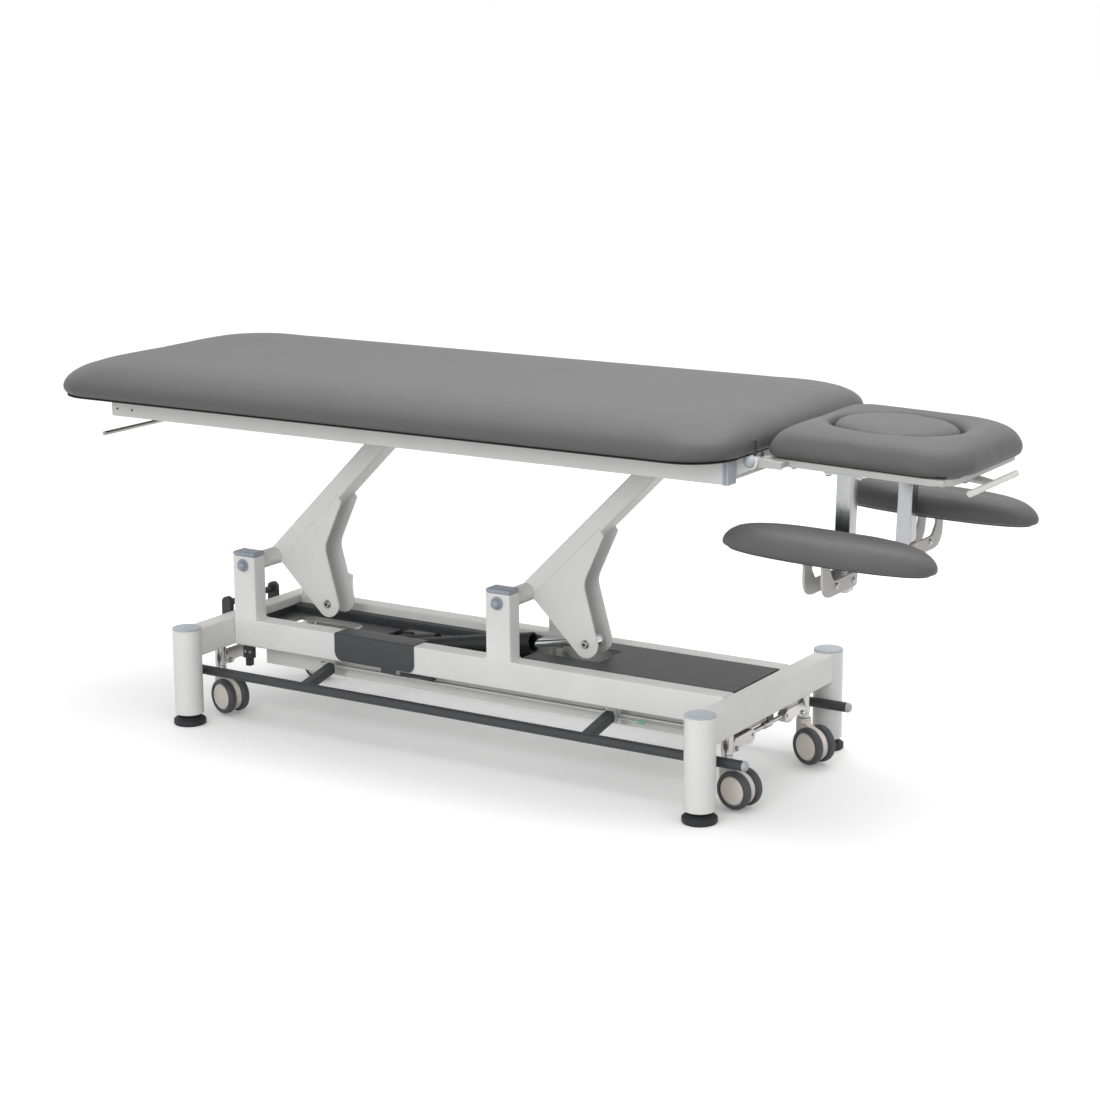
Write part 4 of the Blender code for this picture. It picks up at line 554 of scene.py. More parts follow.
# The hexagon socket is drawn as a black hexagon just proud of the screw's head: painted shade of its recess
socket_painted_shade, tree = new_material("painted shade of screw socket")
socket_speckle = add(tree, "ShaderNodeTexNoise", {"Vector": add(tree, "ShaderNodeTexCoord").outputs["Object"],
    "Scale": 900.0})
socket_roughness = add(tree, "ShaderNodeMapRange", {"Value": socket_speckle, "To Min": 0.3, "To Max": 0.6})
pit = add(tree, "ShaderNodeBsdfPrincipled", {"Base Color": linear("#232323"), "Roughness": socket_roughness})
add(tree, "ShaderNodeOutputMaterial", {"Surface": pit})
joined_parts = screw_tree.nodes.new("GeometryNodeJoinGeometry")
for base, top, radius, narrow, corners, finish in ((0.0, 0.22, "Washer", 0.98, 28, burnished),
        (0.22, 0.62, "Radius", 1.0, 28, burnished), (0.62, 1.0, "Radius", 0.8, 28, burnished),
        (0.9, 1.02, "Radius", 0.46, 6, socket_painted_shade)):
    size = given.outputs[radius]
    lower = add(screw_tree, "ShaderNodeMath", {0: size, 1: 0.48 if corners == 6 else 1.0},
        operation="MULTIPLY")
    upper = add(screw_tree, "ShaderNodeMath", {0: size, 1: narrow}, operation="MULTIPLY")
    depth = add(screw_tree, "ShaderNodeMath", {0: given.outputs["Height"], 1: top - base},
        operation="MULTIPLY")
    lift = add(screw_tree, "ShaderNodeMath", {0: given.outputs["Height"], 1: base}, operation="MULTIPLY")
    cone = add(screw_tree, "GeometryNodeMeshCone", {"Vertices": corners, "Radius Top": upper,
        "Radius Bottom": lower, "Depth": depth})
    shift = add(screw_tree, "ShaderNodeCombineXYZ", {"Z": lift})
    raised = add(screw_tree, "GeometryNodeTransform", {"Geometry": cone, "Translation": shift})
    part = add(screw_tree, "GeometryNodeSetMaterial", {"Geometry": raised, "Material": finish})
    screw_tree.links.new(part.outputs[0], joined_parts.inputs[0])
aim = add(screw_tree, "GeometryNodeInputNamedAttribute", {"Name": "aim"}, data_type="FLOAT_VECTOR")
facing = add(screw_tree, "FunctionNodeAlignRotationToVector", {"Vector": aim.outputs["Attribute"]}, axis="Z")
ended(screw_tree, add(screw_tree, "GeometryNodeInstanceOnPoints", {"Points": given, "Instance": joined_parts,
    "Rotation": facing}))


def screws(name, body, spots, radius, height, washer):
    """Button-head screws at points, each looking along its own direction."""
    mesh = lines(name, [[spot] for spot, _ in spots])
    aims = mesh.attributes.new("aim", "FLOAT_VECTOR", "POINT")
    for k, (_, direction) in enumerate(spots):
        aims.data[k].vector = direction
    heads = grown(name, mesh, screw_tree, body, Radius=radius, Height=height, Washer=washer)
    heads.data.shade_flat()


ARM_TURN = radians(44.6)


def on_arm(pivot_x, along, rise, y):
    """A point of a lift arm's own frame, whose origin is its lower pivot."""
    return (pivot_x + along * cos(ARM_TURN) - rise * sin(ARM_TURN), y,
        PIVOT_HEIGHT + along * sin(ARM_TURN) + rise * cos(ARM_TURN))


for end, x in PIVOT_X.items():
    seams = [[on_arm(x, along, rise, way * 0.0288)
        for along, rise in ((0.0045, -0.0155), (0.12, -0.0146), (0.226, -0.014))] for way in (-1, 1)]
    grown(f"arm_weld_beads_{end}", seams, bead_tree, f"{end}_arm", Radius=0.0012, Ripple=0.002)
    screws(f"lug_screws_{end}", f"{end}_arm",
        [(on_arm(x, 0.0358, -0.1613, way * 0.0296), (0, way, 0)) for way in (-1, 1)], 0.0084, 0.006, 0.0092)


# Lift actuator
# A cast black motor and gearbox on an aluminium tube, with a chromed push rod.

black_plastic = moulded("black glass-filled polyamide", "#2a2b2d", 0.5)
steel_grey = bare_metal("brushed bar steel", "#9b9b99", 0.36, 0.002)
zinc = bare_metal("zinc-plated steel", "#c3c4c3", 0.34, 0.002)
chrome = bare_metal("bright chrome plate", "#d4d6d8", 0.12, 0.004)
dressed("actuator_body", "actuator", black_plastic)
dressed("actuator_rod", "push_rod", chrome, 0.0003)
dressed("actuator_crossmember", "base", white_paint)


# Top frame
# Box tube rails, the foot and head beams and the arm beams between them. Grey sleeves close the rails' head
# ends and black plugs their foot ends; domed blue-grey caps cover the hinge pins, and black leaves guard
# the gap.

for node in ("bed_rail_left", "bed_rail_right", "bed_foot_beam", "arm_beam_foot", "arm_beam_head",
        "head_beam"):
    dressed(node, "bed", white_paint)
dressed("roll_bar", "bed", steel_grey, 0.0003)
HINGE = Vector(JOINT["head_tilt"]["pos_m"])
SIDES = (("right", -1), ("left", 1))
for side, way in SIDES:
    near, far = sorted((way * 0.2096, way * 0.2404))
    shape = bmesh.new()
    box_into(shape, (0.559, near, 0.6346), (0.5622, far, 0.6851), slot=1)
    box_into(shape, (0.5622, near + 0.0002, 0.6348), (0.5672, far - 0.0002, 0.685))
    box_into(shape, (0.5672, near, 0.6346), (0.5712, far, 0.6851), slot=1)
    piece_from(f"bed_rail_sleeve_{side}", shape, "bed", [blue_grey, pale_blue_grey], (), 0.0004)
    shape = bmesh.new()
    near, far = sorted((way * 0.2115, way * 0.2385))
    box_into(shape, (-0.8954, near, 0.6365), (-0.8935, far, 0.6835))
    # Two thin black discs on the rail's outer face stand for its holes: painted shade
    for x in (-0.8797, -0.8399):
        spin_into(shape, [(0.0, 0.0), (0.0026, 0.0), (0.0026, 0.0004), (0.0, 0.0004)],
            axis_place((x, way * 0.2399, 0.6514), (0, way, 0)), 16)
    piece_from(f"bed_rail_plug_and_hole_shade_{side}", shape, "bed", [black_plastic], (), 0.0003)
    shape = bmesh.new()
    dome = [(0.006, -0.0002), (0.0104, -0.0002), (0.0108, 0.0006), (0.0108, 0.0022), (0.0104, 0.0042),
        (0.0093, 0.0062), (0.0075, 0.0079), (0.005, 0.0091), (0.0025, 0.0097), (0.0, 0.0099)]
    spin_into(shape, dome, axis_place((HINGE.x, way * 0.2085, HINGE.z), (0, way, 0)), 40)
    piece_from(f"hinge_cap_{side}", shape, "bed", [pale_blue_grey], (), 0)
    level = Matrix(((1, 0, 0, 0), (0, 0, -way, 0), (0, 1, 0, 0), (0, 0, 0, 1)))
    for name, body, x, top, outer, inner in (("bed_leaf", "bed", 0.605, 0.717, 0.2085, 0.2035),
            ("head_leaf", "head_section", 0.6155, 0.6965, 0.2012, 0.1968)):
        leaf = rounded_corners([(x, 0.687, 0.0), (x + 0.0042, 0.687, 0.0015), (x + 0.0054, top, 0.002),
            (x + 0.0012, top, 0.0015)], 4)
        shape = bmesh.new()
        plate_into(shape, leaf, -outer, -inner, level)
        piece_from(f"{name}_{side}", shape, body, [dark_plastic], (), 0.0004)


# Head section frame
# Flat bars in a light coat with bright chromed posts below, bolted through their plates with domed heads.
# The folded armrest brackets turn on bolts through the posts' feet; their white coat is drawn a darker warm
# grey, as painted shade under the cushions.

TILT = radians(1.6)


def on_head(x, y, z):
    """A point of the head section's own frame, whose origin is on the hinge axis."""
    return (HINGE.x + x * cos(TILT) + z * sin(TILT), y, HINGE.z - x * sin(TILT) + z * cos(TILT))


# The brackets' white coat drawn darker and warmer: painted shade
shaded_white_paint = powder_coat("white powder coat drawn warm grey as painted shade", "#c3c1bc", 0.42, 0.0016, 0.0003)
bar_coat = powder_coat("pale bar powder coat", "#c2c2c0", 0.34, 0.0016, 0.0003)
polished = bare_metal("polished chrome post", "#a2a4a5", 0.2, 0.004)
head_bars = dressed("head_frame", "head_section", bar_coat, 0.0004)
head_bars.data.materials.append(polished)
for face in head_bars.data.polygons:
    level = face.center.z - HINGE.z + (face.center.x - HINGE.x) * sin(TILT)
    if level < -0.0085 and 0.7 < face.center.x < 0.8 and abs(face.center.y) > 0.1:
        face.material_index = 1
shape = bmesh.new()
outer, inner = [rounded_corners([(x0, -y, near), (x1, -y, far), (x1, y, far), (x0, y, near)], 10)
    for x0, x1, y, near, far in ((0.02, 0.37, 0.1705, 0.004, 0.046), (0.024, 0.366, 0.167, 0.003, 0.043))]
loops = [[shape.verts.new(on_head(x, y, z)) for x, y in loop]
    for loop, z in ((outer, -0.008), (outer, 0.0042), (inner, 0.0042), (inner, -0.008))]
for low_loop, high_loop in zip(loops, loops[1:] + loops[:1]):
    wall_into(shape, low_loop, high_loop)
piece_from("head_board_rim", shape, "head_section", [bar_coat], (), 0.0008)
spots = [(on_head(x, way * y, z), (-sin(TILT), 0, -cos(TILT))) for way in (-1, 1)
    for x, y, z in ((0.064, 0.157, -0.0079), (0.1305, 0.118, -0.0129), (0.1305, 0.153, -0.0129),
        (0.1905, 0.118, -0.0129), (0.1905, 0.153, -0.0129))]
screws("head_frame_screws", "head_section", spots, 0.0056, 0.0052, 0.0064)
for side, way in SIDES:
    dressed(f"armrest_bracket_{side}", f"armrest_{side}", shaded_white_paint, 0.0004)
    pivot = Vector(JOINT[f"armrest_{side}_swing"]["pos_m"])
    spots = [(pivot + Vector((face * 0.0206, *shift)), (face, 0, 0))
        for shift in ((0, 0), (way * 0.07, 0.004)) for face in (1, -1)]
    screws(f"armrest_pivot_screws_{side}", f"armrest_{side}", spots, 0.0052, 0.004, 0.0068)
dressed("release_lever", "lever", white_paint, 0.0003)
dressed("gas_spring_body", "gas_cylinder", black_plastic, 0.0003)
dressed("gas_spring_rod", "gas_piston", chrome, 0.0002)


# Castors
# Twin-wheel swivel castors of the central-locking kind: beige polyamide hoods and hub covers, soft grey
# treads, and nickel-bright stems. Under each crossbeam a flat rod and two pressed levers lift and lower the
# pair.

hub_beige = moulded("beige polyamide", "#e6ded5", 0.4)
tread_grey = moulded("grey polyurethane tread", "#46474b", 0.5)
bright_nickel = bare_metal("bright zinc plate", "#b9b8b4", 0.24, 0.003)
OUTER_WHEEL = [(0.0, 26.3, 1), (12.0, 26.2, 1), (22.0, 25.7, 1), (25.6, 25.1, 1), (26.6, 24.3, 1),
    (26.9, 22.8, 1), (27.9, 22.8, 0), (28.3, 25.0, 0), (29.2, 25.8, 0), (31.5, 26.0, 0), (34.0, 25.3, 0),
    (36.1, 23.5, 0), (37.2, 20.8, 0), (37.5, 17.4, 0), (37.5, 14.6, 0), (37.1, 11.8, 0), (35.9, 9.7, 0),
    (34.0, 8.5, 0), (31.6, 8.2, 0), (31.0, 9.2, 1), (29.8, 9.6, 1), (12.0, 9.8, 1), (9.0, 8.7, 1),
    (4.0, 8.7, 2)]
WHEEL_ROWS = OUTER_WHEEL + [(r, -h, None) for r, h, _ in reversed(OUTER_WHEEL)]
WHEEL_BANDS = [slot for _, _, slot in OUTER_WHEEL] + [slot for _, _, slot in reversed(OUTER_WHEEL[:-1])]
for end in ("foot", "head"):
    for side in ("left", "right"):
        corner = f"{end}_{side}"
        axle, swivel = JOINT[f"wheel_spin_{corner}"], JOINT[f"castor_swivel_{corner}"]
        centre, stem = Vector(axle["pos_m"]), Vector(swivel["pos_m"])
        shape = bmesh.new()
        spin_into(shape, [(r / 1000, h / 1000) for r, h, _ in WHEEL_ROWS], axis_place(centre, axle["axis"]),
            72, WHEEL_BANDS)
        piece_from(f"castor_wheel_pair_{corner}", shape, f"wheels_{corner}",
            [tread_grey, hub_beige, bright_nickel], [f"castor_wheels_{corner}"], 0)

        trail = centre - stem
        trail.z = 0.0
        reach = trail.length
        across = Vector(axle["axis"]).normalized()
        upright = Matrix((trail.normalized(), Vector((0, 0, 1)), across)).transposed().to_4x4()
        upright.translation = (stem.x, stem.y, 0.0)
        shape = bmesh.new()
        rim = [(reach + 0.0325 * cos(radians(a)), 0.0415 + 0.0325 * sin(radians(a)))
            for a in range(-150, 81, 10)]
        outline = rim + [(0.0165, 0.08), (0.014, 0.084), (0.0135, 0.086), (-0.0135, 0.086), (-0.015, 0.082),
            (-0.015, 0.056)]
        plate_into(shape, outline, -0.0073, 0.0073, upright)
        piece_from(f"castor_web_{corner}", shape, f"castor_{corner}", [hub_beige], (), 0.002, 3)
        shape = bmesh.new()
        collar = [(0.0, 0.0795), (0.0118, 0.0795), (0.015, 0.0815), (0.015, 0.086), (0.0136, 0.0866),
            (0.0136, 0.088), (0.0146, 0.0886), (0.0146, 0.0906), (0.0138, 0.0914), (0.0, 0.0914)]
        spin_into(shape, collar, Matrix.Translation((stem.x, stem.y, 0.0)), 48)
        piece_from(f"castor_collar_{corner}", shape, f"castor_{corner}", [hub_beige],
            [f"castor_hood_{corner}"], 0)
    axis_x = stem.x
    shape = bmesh.new()
    for way in (-1, 1):
        y = way * 0.16
        sleeve = [(0.0, 0.0919), (0.01, 0.0919), (0.0112, 0.093), (0.0112, 0.099), (0.0106, 0.0996),
            (0.0106, 0.102), (0.0121, 0.103), (0.0121, 0.14), (0.0109, 0.142), (0.0109, 0.1785),
            (0.0, 0.1785)]
        spin_into(shape, sleeve, Matrix.Translation((axis_x, y, 0.0)), 40)
        lever = rounded_corners([(0.0095, 0.1205, 0.001), (0.0095, 0.108, 0.003), (0.016, 0.102, 0.004),
            (0.029, 0.101, 0.004), (0.037, 0.1075, 0.005), (0.054, 0.1085, 0.006), (0.068, 0.1035, 0.006),
            (0.085, 0.103, 0.006), (0.096, 0.109, 0.004), (0.099, 0.123, 0.004), (0.086, 0.13, 0.004),
            (0.016, 0.1295, 0.003)], 3)
        facing = Matrix(((0, 0, 1, axis_x), (-way, 0, 0, y), (0, 1, 0, 0), (0, 0, 0, 1)))
        plate_into(shape, lever, -0.0085, 0.0085, facing)
        spin_into(shape, [(0.0, -0.0125), (0.004, -0.0125), (0.0046, -0.0115), (0.0046, 0.0115),
            (0.004, 0.0125), (0.0, 0.0125)], facing @ Matrix.Translation((0.023, 0.1085, 0.0)), 20)
        spin_into(shape, [(0.0, -0.0105), (0.0034, -0.0105), (0.0034, 0.0105), (0.0, 0.0105)],
            facing @ Matrix.Translation((0.088, 0.118, 0.0)), 20)
    rod = axis_place((axis_x, 0.0, 0.119), (0, 1, 0))
    spin_into(shape, [(0.0, -0.096), (0.0045, -0.096), (0.0045, -0.014), (0.007, -0.013), (0.007, 0.013),
        (0.0045, 0.014), (0.0045, 0.096), (0.0, 0.096)], rod, 24)
    piece_from(f"castor_linkage_{end}", shape, f"castor_lifter_{end}", [bright_nickel],
        [f"castor_carrier_{end}"])
    shape = bmesh.new()
    for near, far, bottom in ((-0.009, -0.006, 0.1275), (0.006, 0.009, 0.1275), (-0.0085, 0.0085, 0.141)):
        box_into(shape, (axis_x + near, -0.012, bottom), (axis_x + far, 0.012, 0.1437))
    piece_from(f"castor_rod_guide_{end}", shape, "base", [black_plastic], (), 0.0005)
dressed("castor_pedal", "pedal", black_plastic)


# Foot switch bars
# Charcoal-coated tubes with light polyamide end plugs, welded to square arms that tip on zinc-plated
# shafts.

charcoal = powder_coat("charcoal powder coat", "#3c3d3f", 0.42, 0.0012, 0.0003)
plug_grey = moulded("light grey polyamide", "#b4b7ba", 0.45)
for side, way in SIDES:
    low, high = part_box(f"switch_bar_{side}")
    y, z = way * 0.22, 0.106
    shape = bmesh.new()
    start, stop = low.x + 0.009, high.x - 0.009
    spin_into(shape, [(0.0, start), (0.01, start), (0.01, stop), (0.0, stop)],
        axis_place((0.0, y, z), (1, 0, 0)), 40)
    for x in (low.x, high.x):
        plug = [(0.0, 0.0), (0.0062, -0.0006), (0.0088, -0.0026), (0.0098, -0.0052), (0.0102, -0.0062),
            (0.0102, -0.0095), (0.0, -0.0095)]
        spin_into(shape, plug, axis_place((x, y, z), (copysign(1, x), 0, 0)), 40, 1)
    shaft_y, shaft_z = JOINT[f"switch_press_{side}"]["pos_m"][1:]
    for x in (low.x + 0.307, high.x - 0.352):
        arm = rounded_corners([(-0.009, -0.009, 0.004), (-0.009, 0.009, 0.004), (0.098, -0.0145, 0.0),
            (0.098, -0.0315, 0.0)], 4)
        facing = Matrix(((0, 0, 1, x), (way, 0, 0, shaft_y), (0, 1, 0, shaft_z), (0, 0, 0, 1)))
        plate_into(shape, arm, -0.011, 0.011, facing)
    piece_from(f"foot_bar_{side}", shape, f"switch_{side}", [charcoal, plug_grey], [f"switch_bar_{side}"],
        0.0012)
    dressed(f"switch_shaft_{side}", "base", zinc, 0.0003)


# Switch rods and brackets
# Under each rail hang two bent brackets with a bolt, the micro-switch's thin rod with its green tip, a
# black switch strip, and at the foot end the small black bracket of the pedal's rod.

green_tip = moulded("green polyethylene cap", "#6db08d", 0.45)
rail_bottom = 0.1436
for side, way in SIDES:
    shape = bmesh.new()
    near, far = sorted((way * 0.1215, way * 0.124))
    box_into(shape, (0.242, near, 0.112), (0.277, far, rail_bottom))
    box_into(shape, (-0.44, near, 0.112), (-0.416, far, rail_bottom))
    piece_from(f"switch_bracket_{side}", shape, "base", [zinc], (), 0.0005)
    screws(f"switch_bracket_screws_{side}", "base", [((x, way * 0.124, 0.129), (0, way, 0))
        for x in (0.26, -0.428)], 0.0036, 0.003, 0.0044)
    shape = bmesh.new()
    rod = axis_place((0.0, way * 0.129, 0.124), (1, 0, 0))
    spin_into(shape, [(0.0, 0.264), (0.0014, 0.264), (0.0014, 0.43), (0.0, 0.43)], rod, 16)
    spin_into(shape, [(0.0, 0.319), (0.0026, 0.319), (0.0032, 0.3205), (0.0032, 0.333), (0.0026, 0.335),
        (0.0, 0.335)], rod, 20, 1)
    piece_from(f"switch_rod_{side}", shape, "base", [zinc, green_tip], (), 0)
    shape = bmesh.new()
    near, far = sorted((way * 0.123, way * 0.136))
    box_into(shape, (-0.24, near, 0.137), (-0.159, far, rail_bottom))
    box_into(shape, (-0.214, near, 0.1366), (-0.19, far, 0.1372), slot=1)
    box_into(shape, (-0.65, near, 0.118), (-0.626, far, rail_bottom))
    box_into(shape, (-0.644, near, 0.101), (-0.632, far, 0.118))
    piece_from(f"switch_strip_{side}", shape, "base", [black_plastic, zinc], (), 0.0006)
    screws(f"switch_strip_screws_{side}", "base", [((x, way * 0.136, 0.132), (0, way, 0))
        for x in (-0.644, -0.632)], 0.003, 0.0024, 0.0036)


# Main cushion
# High-density foam on a birch board, drawn tight in grey leatherette. Pulled over the corners, the cover
# swells a little between its staples.

def leatherette(name, shade, pebble):
    """Polyurethane-coated fabric with a low sheen; its pebbled grain is drawn coarser than life to show."""
    material, tree = new_material(name)
    coordinates = add(tree, "ShaderNodeTexCoord").outputs["Object"]
    bend = add(tree, "ShaderNodeTexNoise", {"Vector": coordinates, "Scale": 1 / 0.006, "Detail": 2.0})
    offset = add(tree, "ShaderNodeVectorMath", {0: bend.outputs["Color"], "Scale": 0.0012}, operation="SCALE")
    swayed = add(tree, "ShaderNodeVectorMath", {0: coordinates, 1: offset}, operation="ADD")
    cells = add(tree, "ShaderNodeTexVoronoi", {"Vector": swayed, "Scale": 1 / pebble},
        feature="DISTANCE_TO_EDGE")
    domed = add(tree, "ShaderNodeMapRange", {"Value": cells, "From Max": 0.25},
        interpolation_type="SMOOTHSTEP")
    clouds = clouded(tree, coordinates, shade, 0.09, 3.0, 0.03)
    # The colour is up to 7 % darker in the grain's grooves: painted shade
    groove_painted_shade = add(tree, "ShaderNodeMapRange", {"Value": domed, "To Min": 0.93})
    colour = add(tree, "ShaderNodeVectorMath", {0: clouds, "Scale": groove_painted_shade}, operation="SCALE")
    rough = add(tree, "ShaderNodeMapRange", {"Value": domed, "To Min": 0.62, "To Max": 0.5})
    bump = add(tree, "ShaderNodeBump", {"Height": domed, "Strength": 0.35, "Distance": 0.00025})
    shader = add(tree, "ShaderNodeBsdfPrincipled", {"Base Color": colour, "Roughness": rough, "IOR": 1.5,
        "Sheen Weight": 0.05, "Sheen Roughness": 0.5, "Normal": bump})
    add(tree, "ShaderNodeOutputMaterial", {"Surface": shader})
    return material


def rounded_outline(x_low, x_high, half, near, far, steps=10):
    """A rounded rectangle about the centre line, with one radius at its low end and one at its high end."""
    points = []
    for x, y, r, turn in ((x_high - far, half - far, far, 0), (x_low + near, half - near, near, 90),
            (x_low + near, near - half, near, 180), (x_high - far, far - half, far, 270)):
        for step in range(steps + 1):
            angle = radians(turn + 90 * step / steps)
            points.append((x + r * cos(angle), y + r * sin(angle)))
    return points


def stacked(name, rings):
    """A closed shell through rings of as many points each, its two ends filled."""
    shell = bmesh.new()
    loops = [[shell.verts.new(point) for point in ring] for ring in rings]
    for low, high in zip(loops, loops[1:]):
        wall_into(shell, low, high)
    shell.faces.new(reversed(loops[0]))
    shell.faces.new(loops[-1])
    bmesh.ops.recalc_face_normals(shell, faces=shell.faces)
    mesh = bpy.data.meshes.new(name)
    shell.to_mesh(mesh)
    shell.free()
    return in_scene(name, mesh)


def upholstered(piece, node, body, voxel, reach, base):
    """Foam under a stretched cover: the remeshed form swells under pressure, by no more than its reach."""
    grid = piece.modifiers.new("grid", "REMESH")
    grid.mode, grid.voxel_size = "VOXEL", voxel
    settle(piece)
    start = [v.co.copy() for v in piece.data.vertices]
    cloth = piece.modifiers.new("cover", "CLOTH")
    cloth.settings.use_pressure = True
    cloth.settings.uniform_pressure_force = 4.0
    cloth.settings.effector_weights.gravity = 0.0
    cloth.point_cache.frame_start, cloth.point_cache.frame_end = 1, 20
    for moment in range(1, 21):
        scene.frame_set(moment)
    settle(piece)
    scene.frame_set(1)
    for vertex, rest in zip(piece.data.vertices, start):
        shift = vertex.co - rest
        shift.z = max(shift.z, base - rest.z)
        grip = min(1.0, max(0.0, (rest.z - base) / 0.012))
        if shift.length > reach * grip:
            shift *= reach * grip / max(shift.length, 1e-9)
        vertex.co = rest + shift
    piece.data.shade_smooth()
    relax = piece.modifiers.new("relax", "SMOOTH")
    relax.factor, relax.iterations = 0.5, 6
    finer = piece.modifiers.new("finer", "SUBSURF")
    finer.levels = finer.render_levels = 1
    settle(piece)
    piece.data.materials.append(grey_leatherette)
    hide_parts(node)
    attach(piece, body)
    return piece


def dust_cover(name, body, outline, place):
    """A black non-woven cloth under a cushion's board, and the staples that hold it along its edge."""
    shape = bmesh.new()
    plate_into(shape, outline, 0.0, 0.0016, place)
    piece_from(f"{name}_dust_cover", shape, body, [dust_cloth], (), 0)
    middle = sum((Vector(point) for point in outline), Vector((0, 0))) / len(outline)
    inward = [Vector(point) + (middle - Vector(point)).normalized() * 0.009 for point in outline]
    grown(f"{name}_staples", [[place(x, y, 0.0001) for x, y in inward]], staple_tree, body, closed=True,
        Spacing=0.028, Length=0.009, Thickness=0.0005)


dust_cloth = moulded("black non-woven cloth", "#26272a", 0.85, 0.0006)
staple_tree, given = maker_tree("staples", {"Spacing": 0.028, "Length": 0.009, "Thickness": 0.0006})
path = add(staple_tree, "GeometryNodeMeshToCurve", {"Mesh": given})
spread = add(staple_tree, "GeometryNodeCurveToPoints", {"Curve": path, "Length": given.outputs["Spacing"]},
    mode="LENGTH")
turn = add(staple_tree, "FunctionNodeAlignRotationToVector", {"Vector": spread.outputs["Tangent"]}, axis="X")
bar_size = add(staple_tree, "ShaderNodeCombineXYZ", {"X": given.outputs["Length"],
    "Y": given.outputs["Thickness"], "Z": given.outputs["Thickness"]})
bar = add(staple_tree, "GeometryNodeMeshCube", {"Size": bar_size})
laid = add(staple_tree, "GeometryNodeInstanceOnPoints", {"Points": spread, "Instance": bar, "Rotation": turn})
ended(staple_tree, laid, zinc)

grey_leatherette = leatherette("grey leatherette", "#595858", 0.0016)

low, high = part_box("main_pad")
PROFILE = ((0.018, 0.0012), (0.006, 0.0045), (0.0, 0.0135), (0.0005, 0.0215), (0.004, 0.0305),
    (0.011, 0.0385), (0.022, 0.0462), (0.038, 0.0527), (0.058, 0.0577), (0.084, 0.0612), (0.115, 0.0636),
    (0.15, 0.0647))
rings = []
for inset, height in PROFILE:
    corner = 0.1 + inset * 0.25
    outline = rounded_outline(low.x + inset * 0.62 + 0.001, high.x - inset * 0.62 - 0.001,
        high.y - inset - 0.001, corner, corner)
    bowed = [(x - 0.006 * (1 - (y / high.y) ** 2) if x < low.x + 0.25 else x, y) for x, y in outline]
    rings.append([(x, y, low.z + height * (high.z - low.z) / PROFILE[-1][1]) for x, y in bowed])
upholstered(stacked("main_cushion", rings), "main_pad", "bed", 0.008, 0.004, low.z + 0.0012)
dust_cover("main_cushion", "bed", rounded_outline(low.x + 0.013, high.x - 0.013, high.y - 0.013, 0.09, 0.09),
    lambda x, y, z: (x, y, low.z + z))


# Head cushion and its face plug
# The head cushion has an oval face opening, closed by a loose plug of the same foam and cover.

FACE_X = 0.192


def oval(reach_x, reach_y, height, count=96):
    """A ring about the face opening's middle."""
    return [on_head(FACE_X + reach_x * cos(tau * i / count), reach_y * sin(tau * i / count), height)
        for i in range(count)]


HEAD_PROFILE = ((0.014, 0.0058), (0.004, 0.009), (0.0, 0.018), (0.001, 0.026), (0.005, 0.0345),
    (0.011, 0.0435), (0.02, 0.0515), (0.033, 0.058), (0.05, 0.063), (0.072, 0.0655))
rings = []
for inset, height in HEAD_PROFILE:
    outline = rounded_outline(0.016 + inset * 0.8, 0.395 - inset, 0.183 - inset, 0.014 + inset * 0.5,
        0.088 - inset * 0.2)
    rings.append([on_head(x, y, height) for x, y in outline])
head_cushion = stacked("head_cushion", rings)
well = stacked("face_well", [oval(*row) for row in ((0.125, 0.1075, -0.03), (0.125, 0.1075, 0.047),
    (0.1258, 0.1083, 0.053), (0.1285, 0.111, 0.0582), (0.1335, 0.116, 0.0622), (0.142, 0.1245, 0.065),
    (0.156, 0.1385, 0.069))])
hole = head_cushion.modifiers.new("face_opening", "BOOLEAN")
hole.operation, hole.object, hole.solver = "DIFFERENCE", well, "EXACT"
settle(head_cushion)
bpy.data.objects.remove(well)
upholstered(head_cushion, "head_pad", "head_section", 0.0045, 0.002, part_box("head_pad")[0].z)
for half, way in SIDES:
    sweep = [radians(k) for k in range(6, 175, 7)]
    board = [(min(max(FACE_X + 0.158 * cos(a), 0.036), 0.372),
        way * min(max(0.158 * sin(a) * 1.22, 0.006), 0.16)) for a in sweep]
    opening = [(FACE_X + 0.134 * cos(a), way * 0.116 * sin(a)) for a in sweep[::-1]]
    dust_cover(f"head_cushion_{half}", "head_section", board + opening,
        lambda x, y, z: on_head(x, y, z + 0.0043))

PLUG_PROFILE = ((0.006, 0.009), (0.001, 0.013), (0.0, 0.03), (0.0005, 0.042), (0.003, 0.05), (0.008, 0.0575),
    (0.018, 0.062), (0.034, 0.065), (0.054, 0.0668))
rings = [oval(0.1205 - inset, 0.1025 - inset, height) for inset, height in PLUG_PROFILE]
face_cushion = upholstered(stacked("face_cushion", rings), "face_plug", "plug", 0.004, 0.0015,
    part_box("face_plug")[0].z)

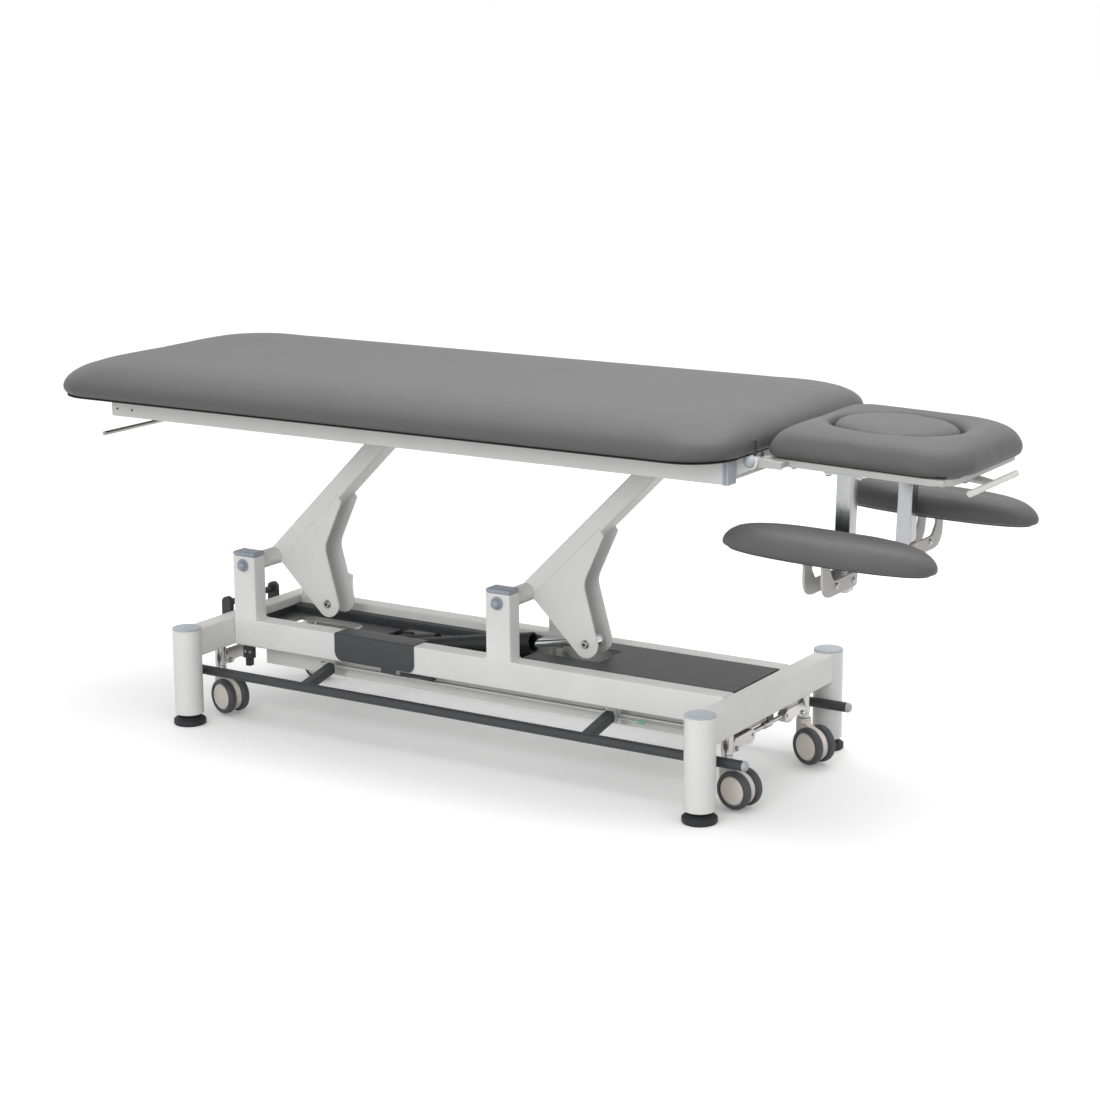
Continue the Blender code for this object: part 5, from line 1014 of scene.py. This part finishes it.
stitch_thread = moulded("dark grey polyester thread", "#3a3a3c", 0.75, 0.0004)
stitch_tree = staple_tree.copy()
for node in stitch_tree.nodes:
    if node.bl_idname == "GeometryNodeSetMaterial":
        node.inputs["Material"].default_value = stitch_thread


def sewn(name, cushion, body, points, closed, **sizes):
    """A row of stitches on a cushion's cover, nearest to some points."""
    row = []
    for point in points:
        _, spot, normal, _ = cushion.closest_point_on_mesh(Vector(point))
        row.append(spot + normal * 0.0001)
    grown(name, [row], stitch_tree, body, closed, **sizes)


sewn("face_cushion_stitches", face_cushion, "plug", oval(0.135, 0.117, 0.036, 240), True,
    Spacing=0.005, Length=0.0034, Thickness=0.0006)
slanting = [on_head(0.262 + 0.004 * i, -0.116 + 0.0016 * i, 0.075) for i in range(9)]
sewn("head_cushion_stitches", head_cushion, "head_section", slanting, False,
    Spacing=0.0042, Length=0.0026, Thickness=0.0005)


# Armrest cushions
# Long surfboard pads: thin boards with domed foam, tapered towards both ends.

ARMREST_X, ARMREST_Y = 0.1755, 0.235


def surfboard(reach, half, count, way):
    """The armrest's outline, an oval with full ends."""
    turns = [(cos(tau * i / count), sin(tau * i / count)) for i in range(count)]
    return [(ARMREST_X + copysign(reach * abs(c) ** 0.86, c),
        way * ARMREST_Y + copysign(half * abs(s) ** 0.88, s)) for c, s in turns]


for side, way in SIDES:
    rings = []
    for inset, height in ((0.008, -0.149), (0.001, -0.146), (0.0, -0.137), (0.0015, -0.129), (0.006, -0.1205),
            (0.014, -0.1125), (0.026, -0.1066), (0.042, -0.1036)):
        rings.append([on_head(x, y, -0.149 + (height + 0.149) * (1 - 0.3 * (abs(x - ARMREST_X) / 0.21) ** 4))
            for x, y in surfboard(0.21 - inset, 0.0655 - inset, 96, way)])
    pad = f"armrest_pad_{side}"
    upholstered(stacked(f"armrest_cushion_{side}", rings), pad, f"armrest_{side}", 0.0045, 0.002,
        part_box(pad)[0].z)
    shape = bmesh.new()
    plate_into(shape, surfboard(0.196, 0.052, 64, way), -0.1518, -0.1485, on_head)
    piece_from(f"armrest_board_{side}", shape, f"armrest_{side}", [dark_plastic], (), 0.0006)
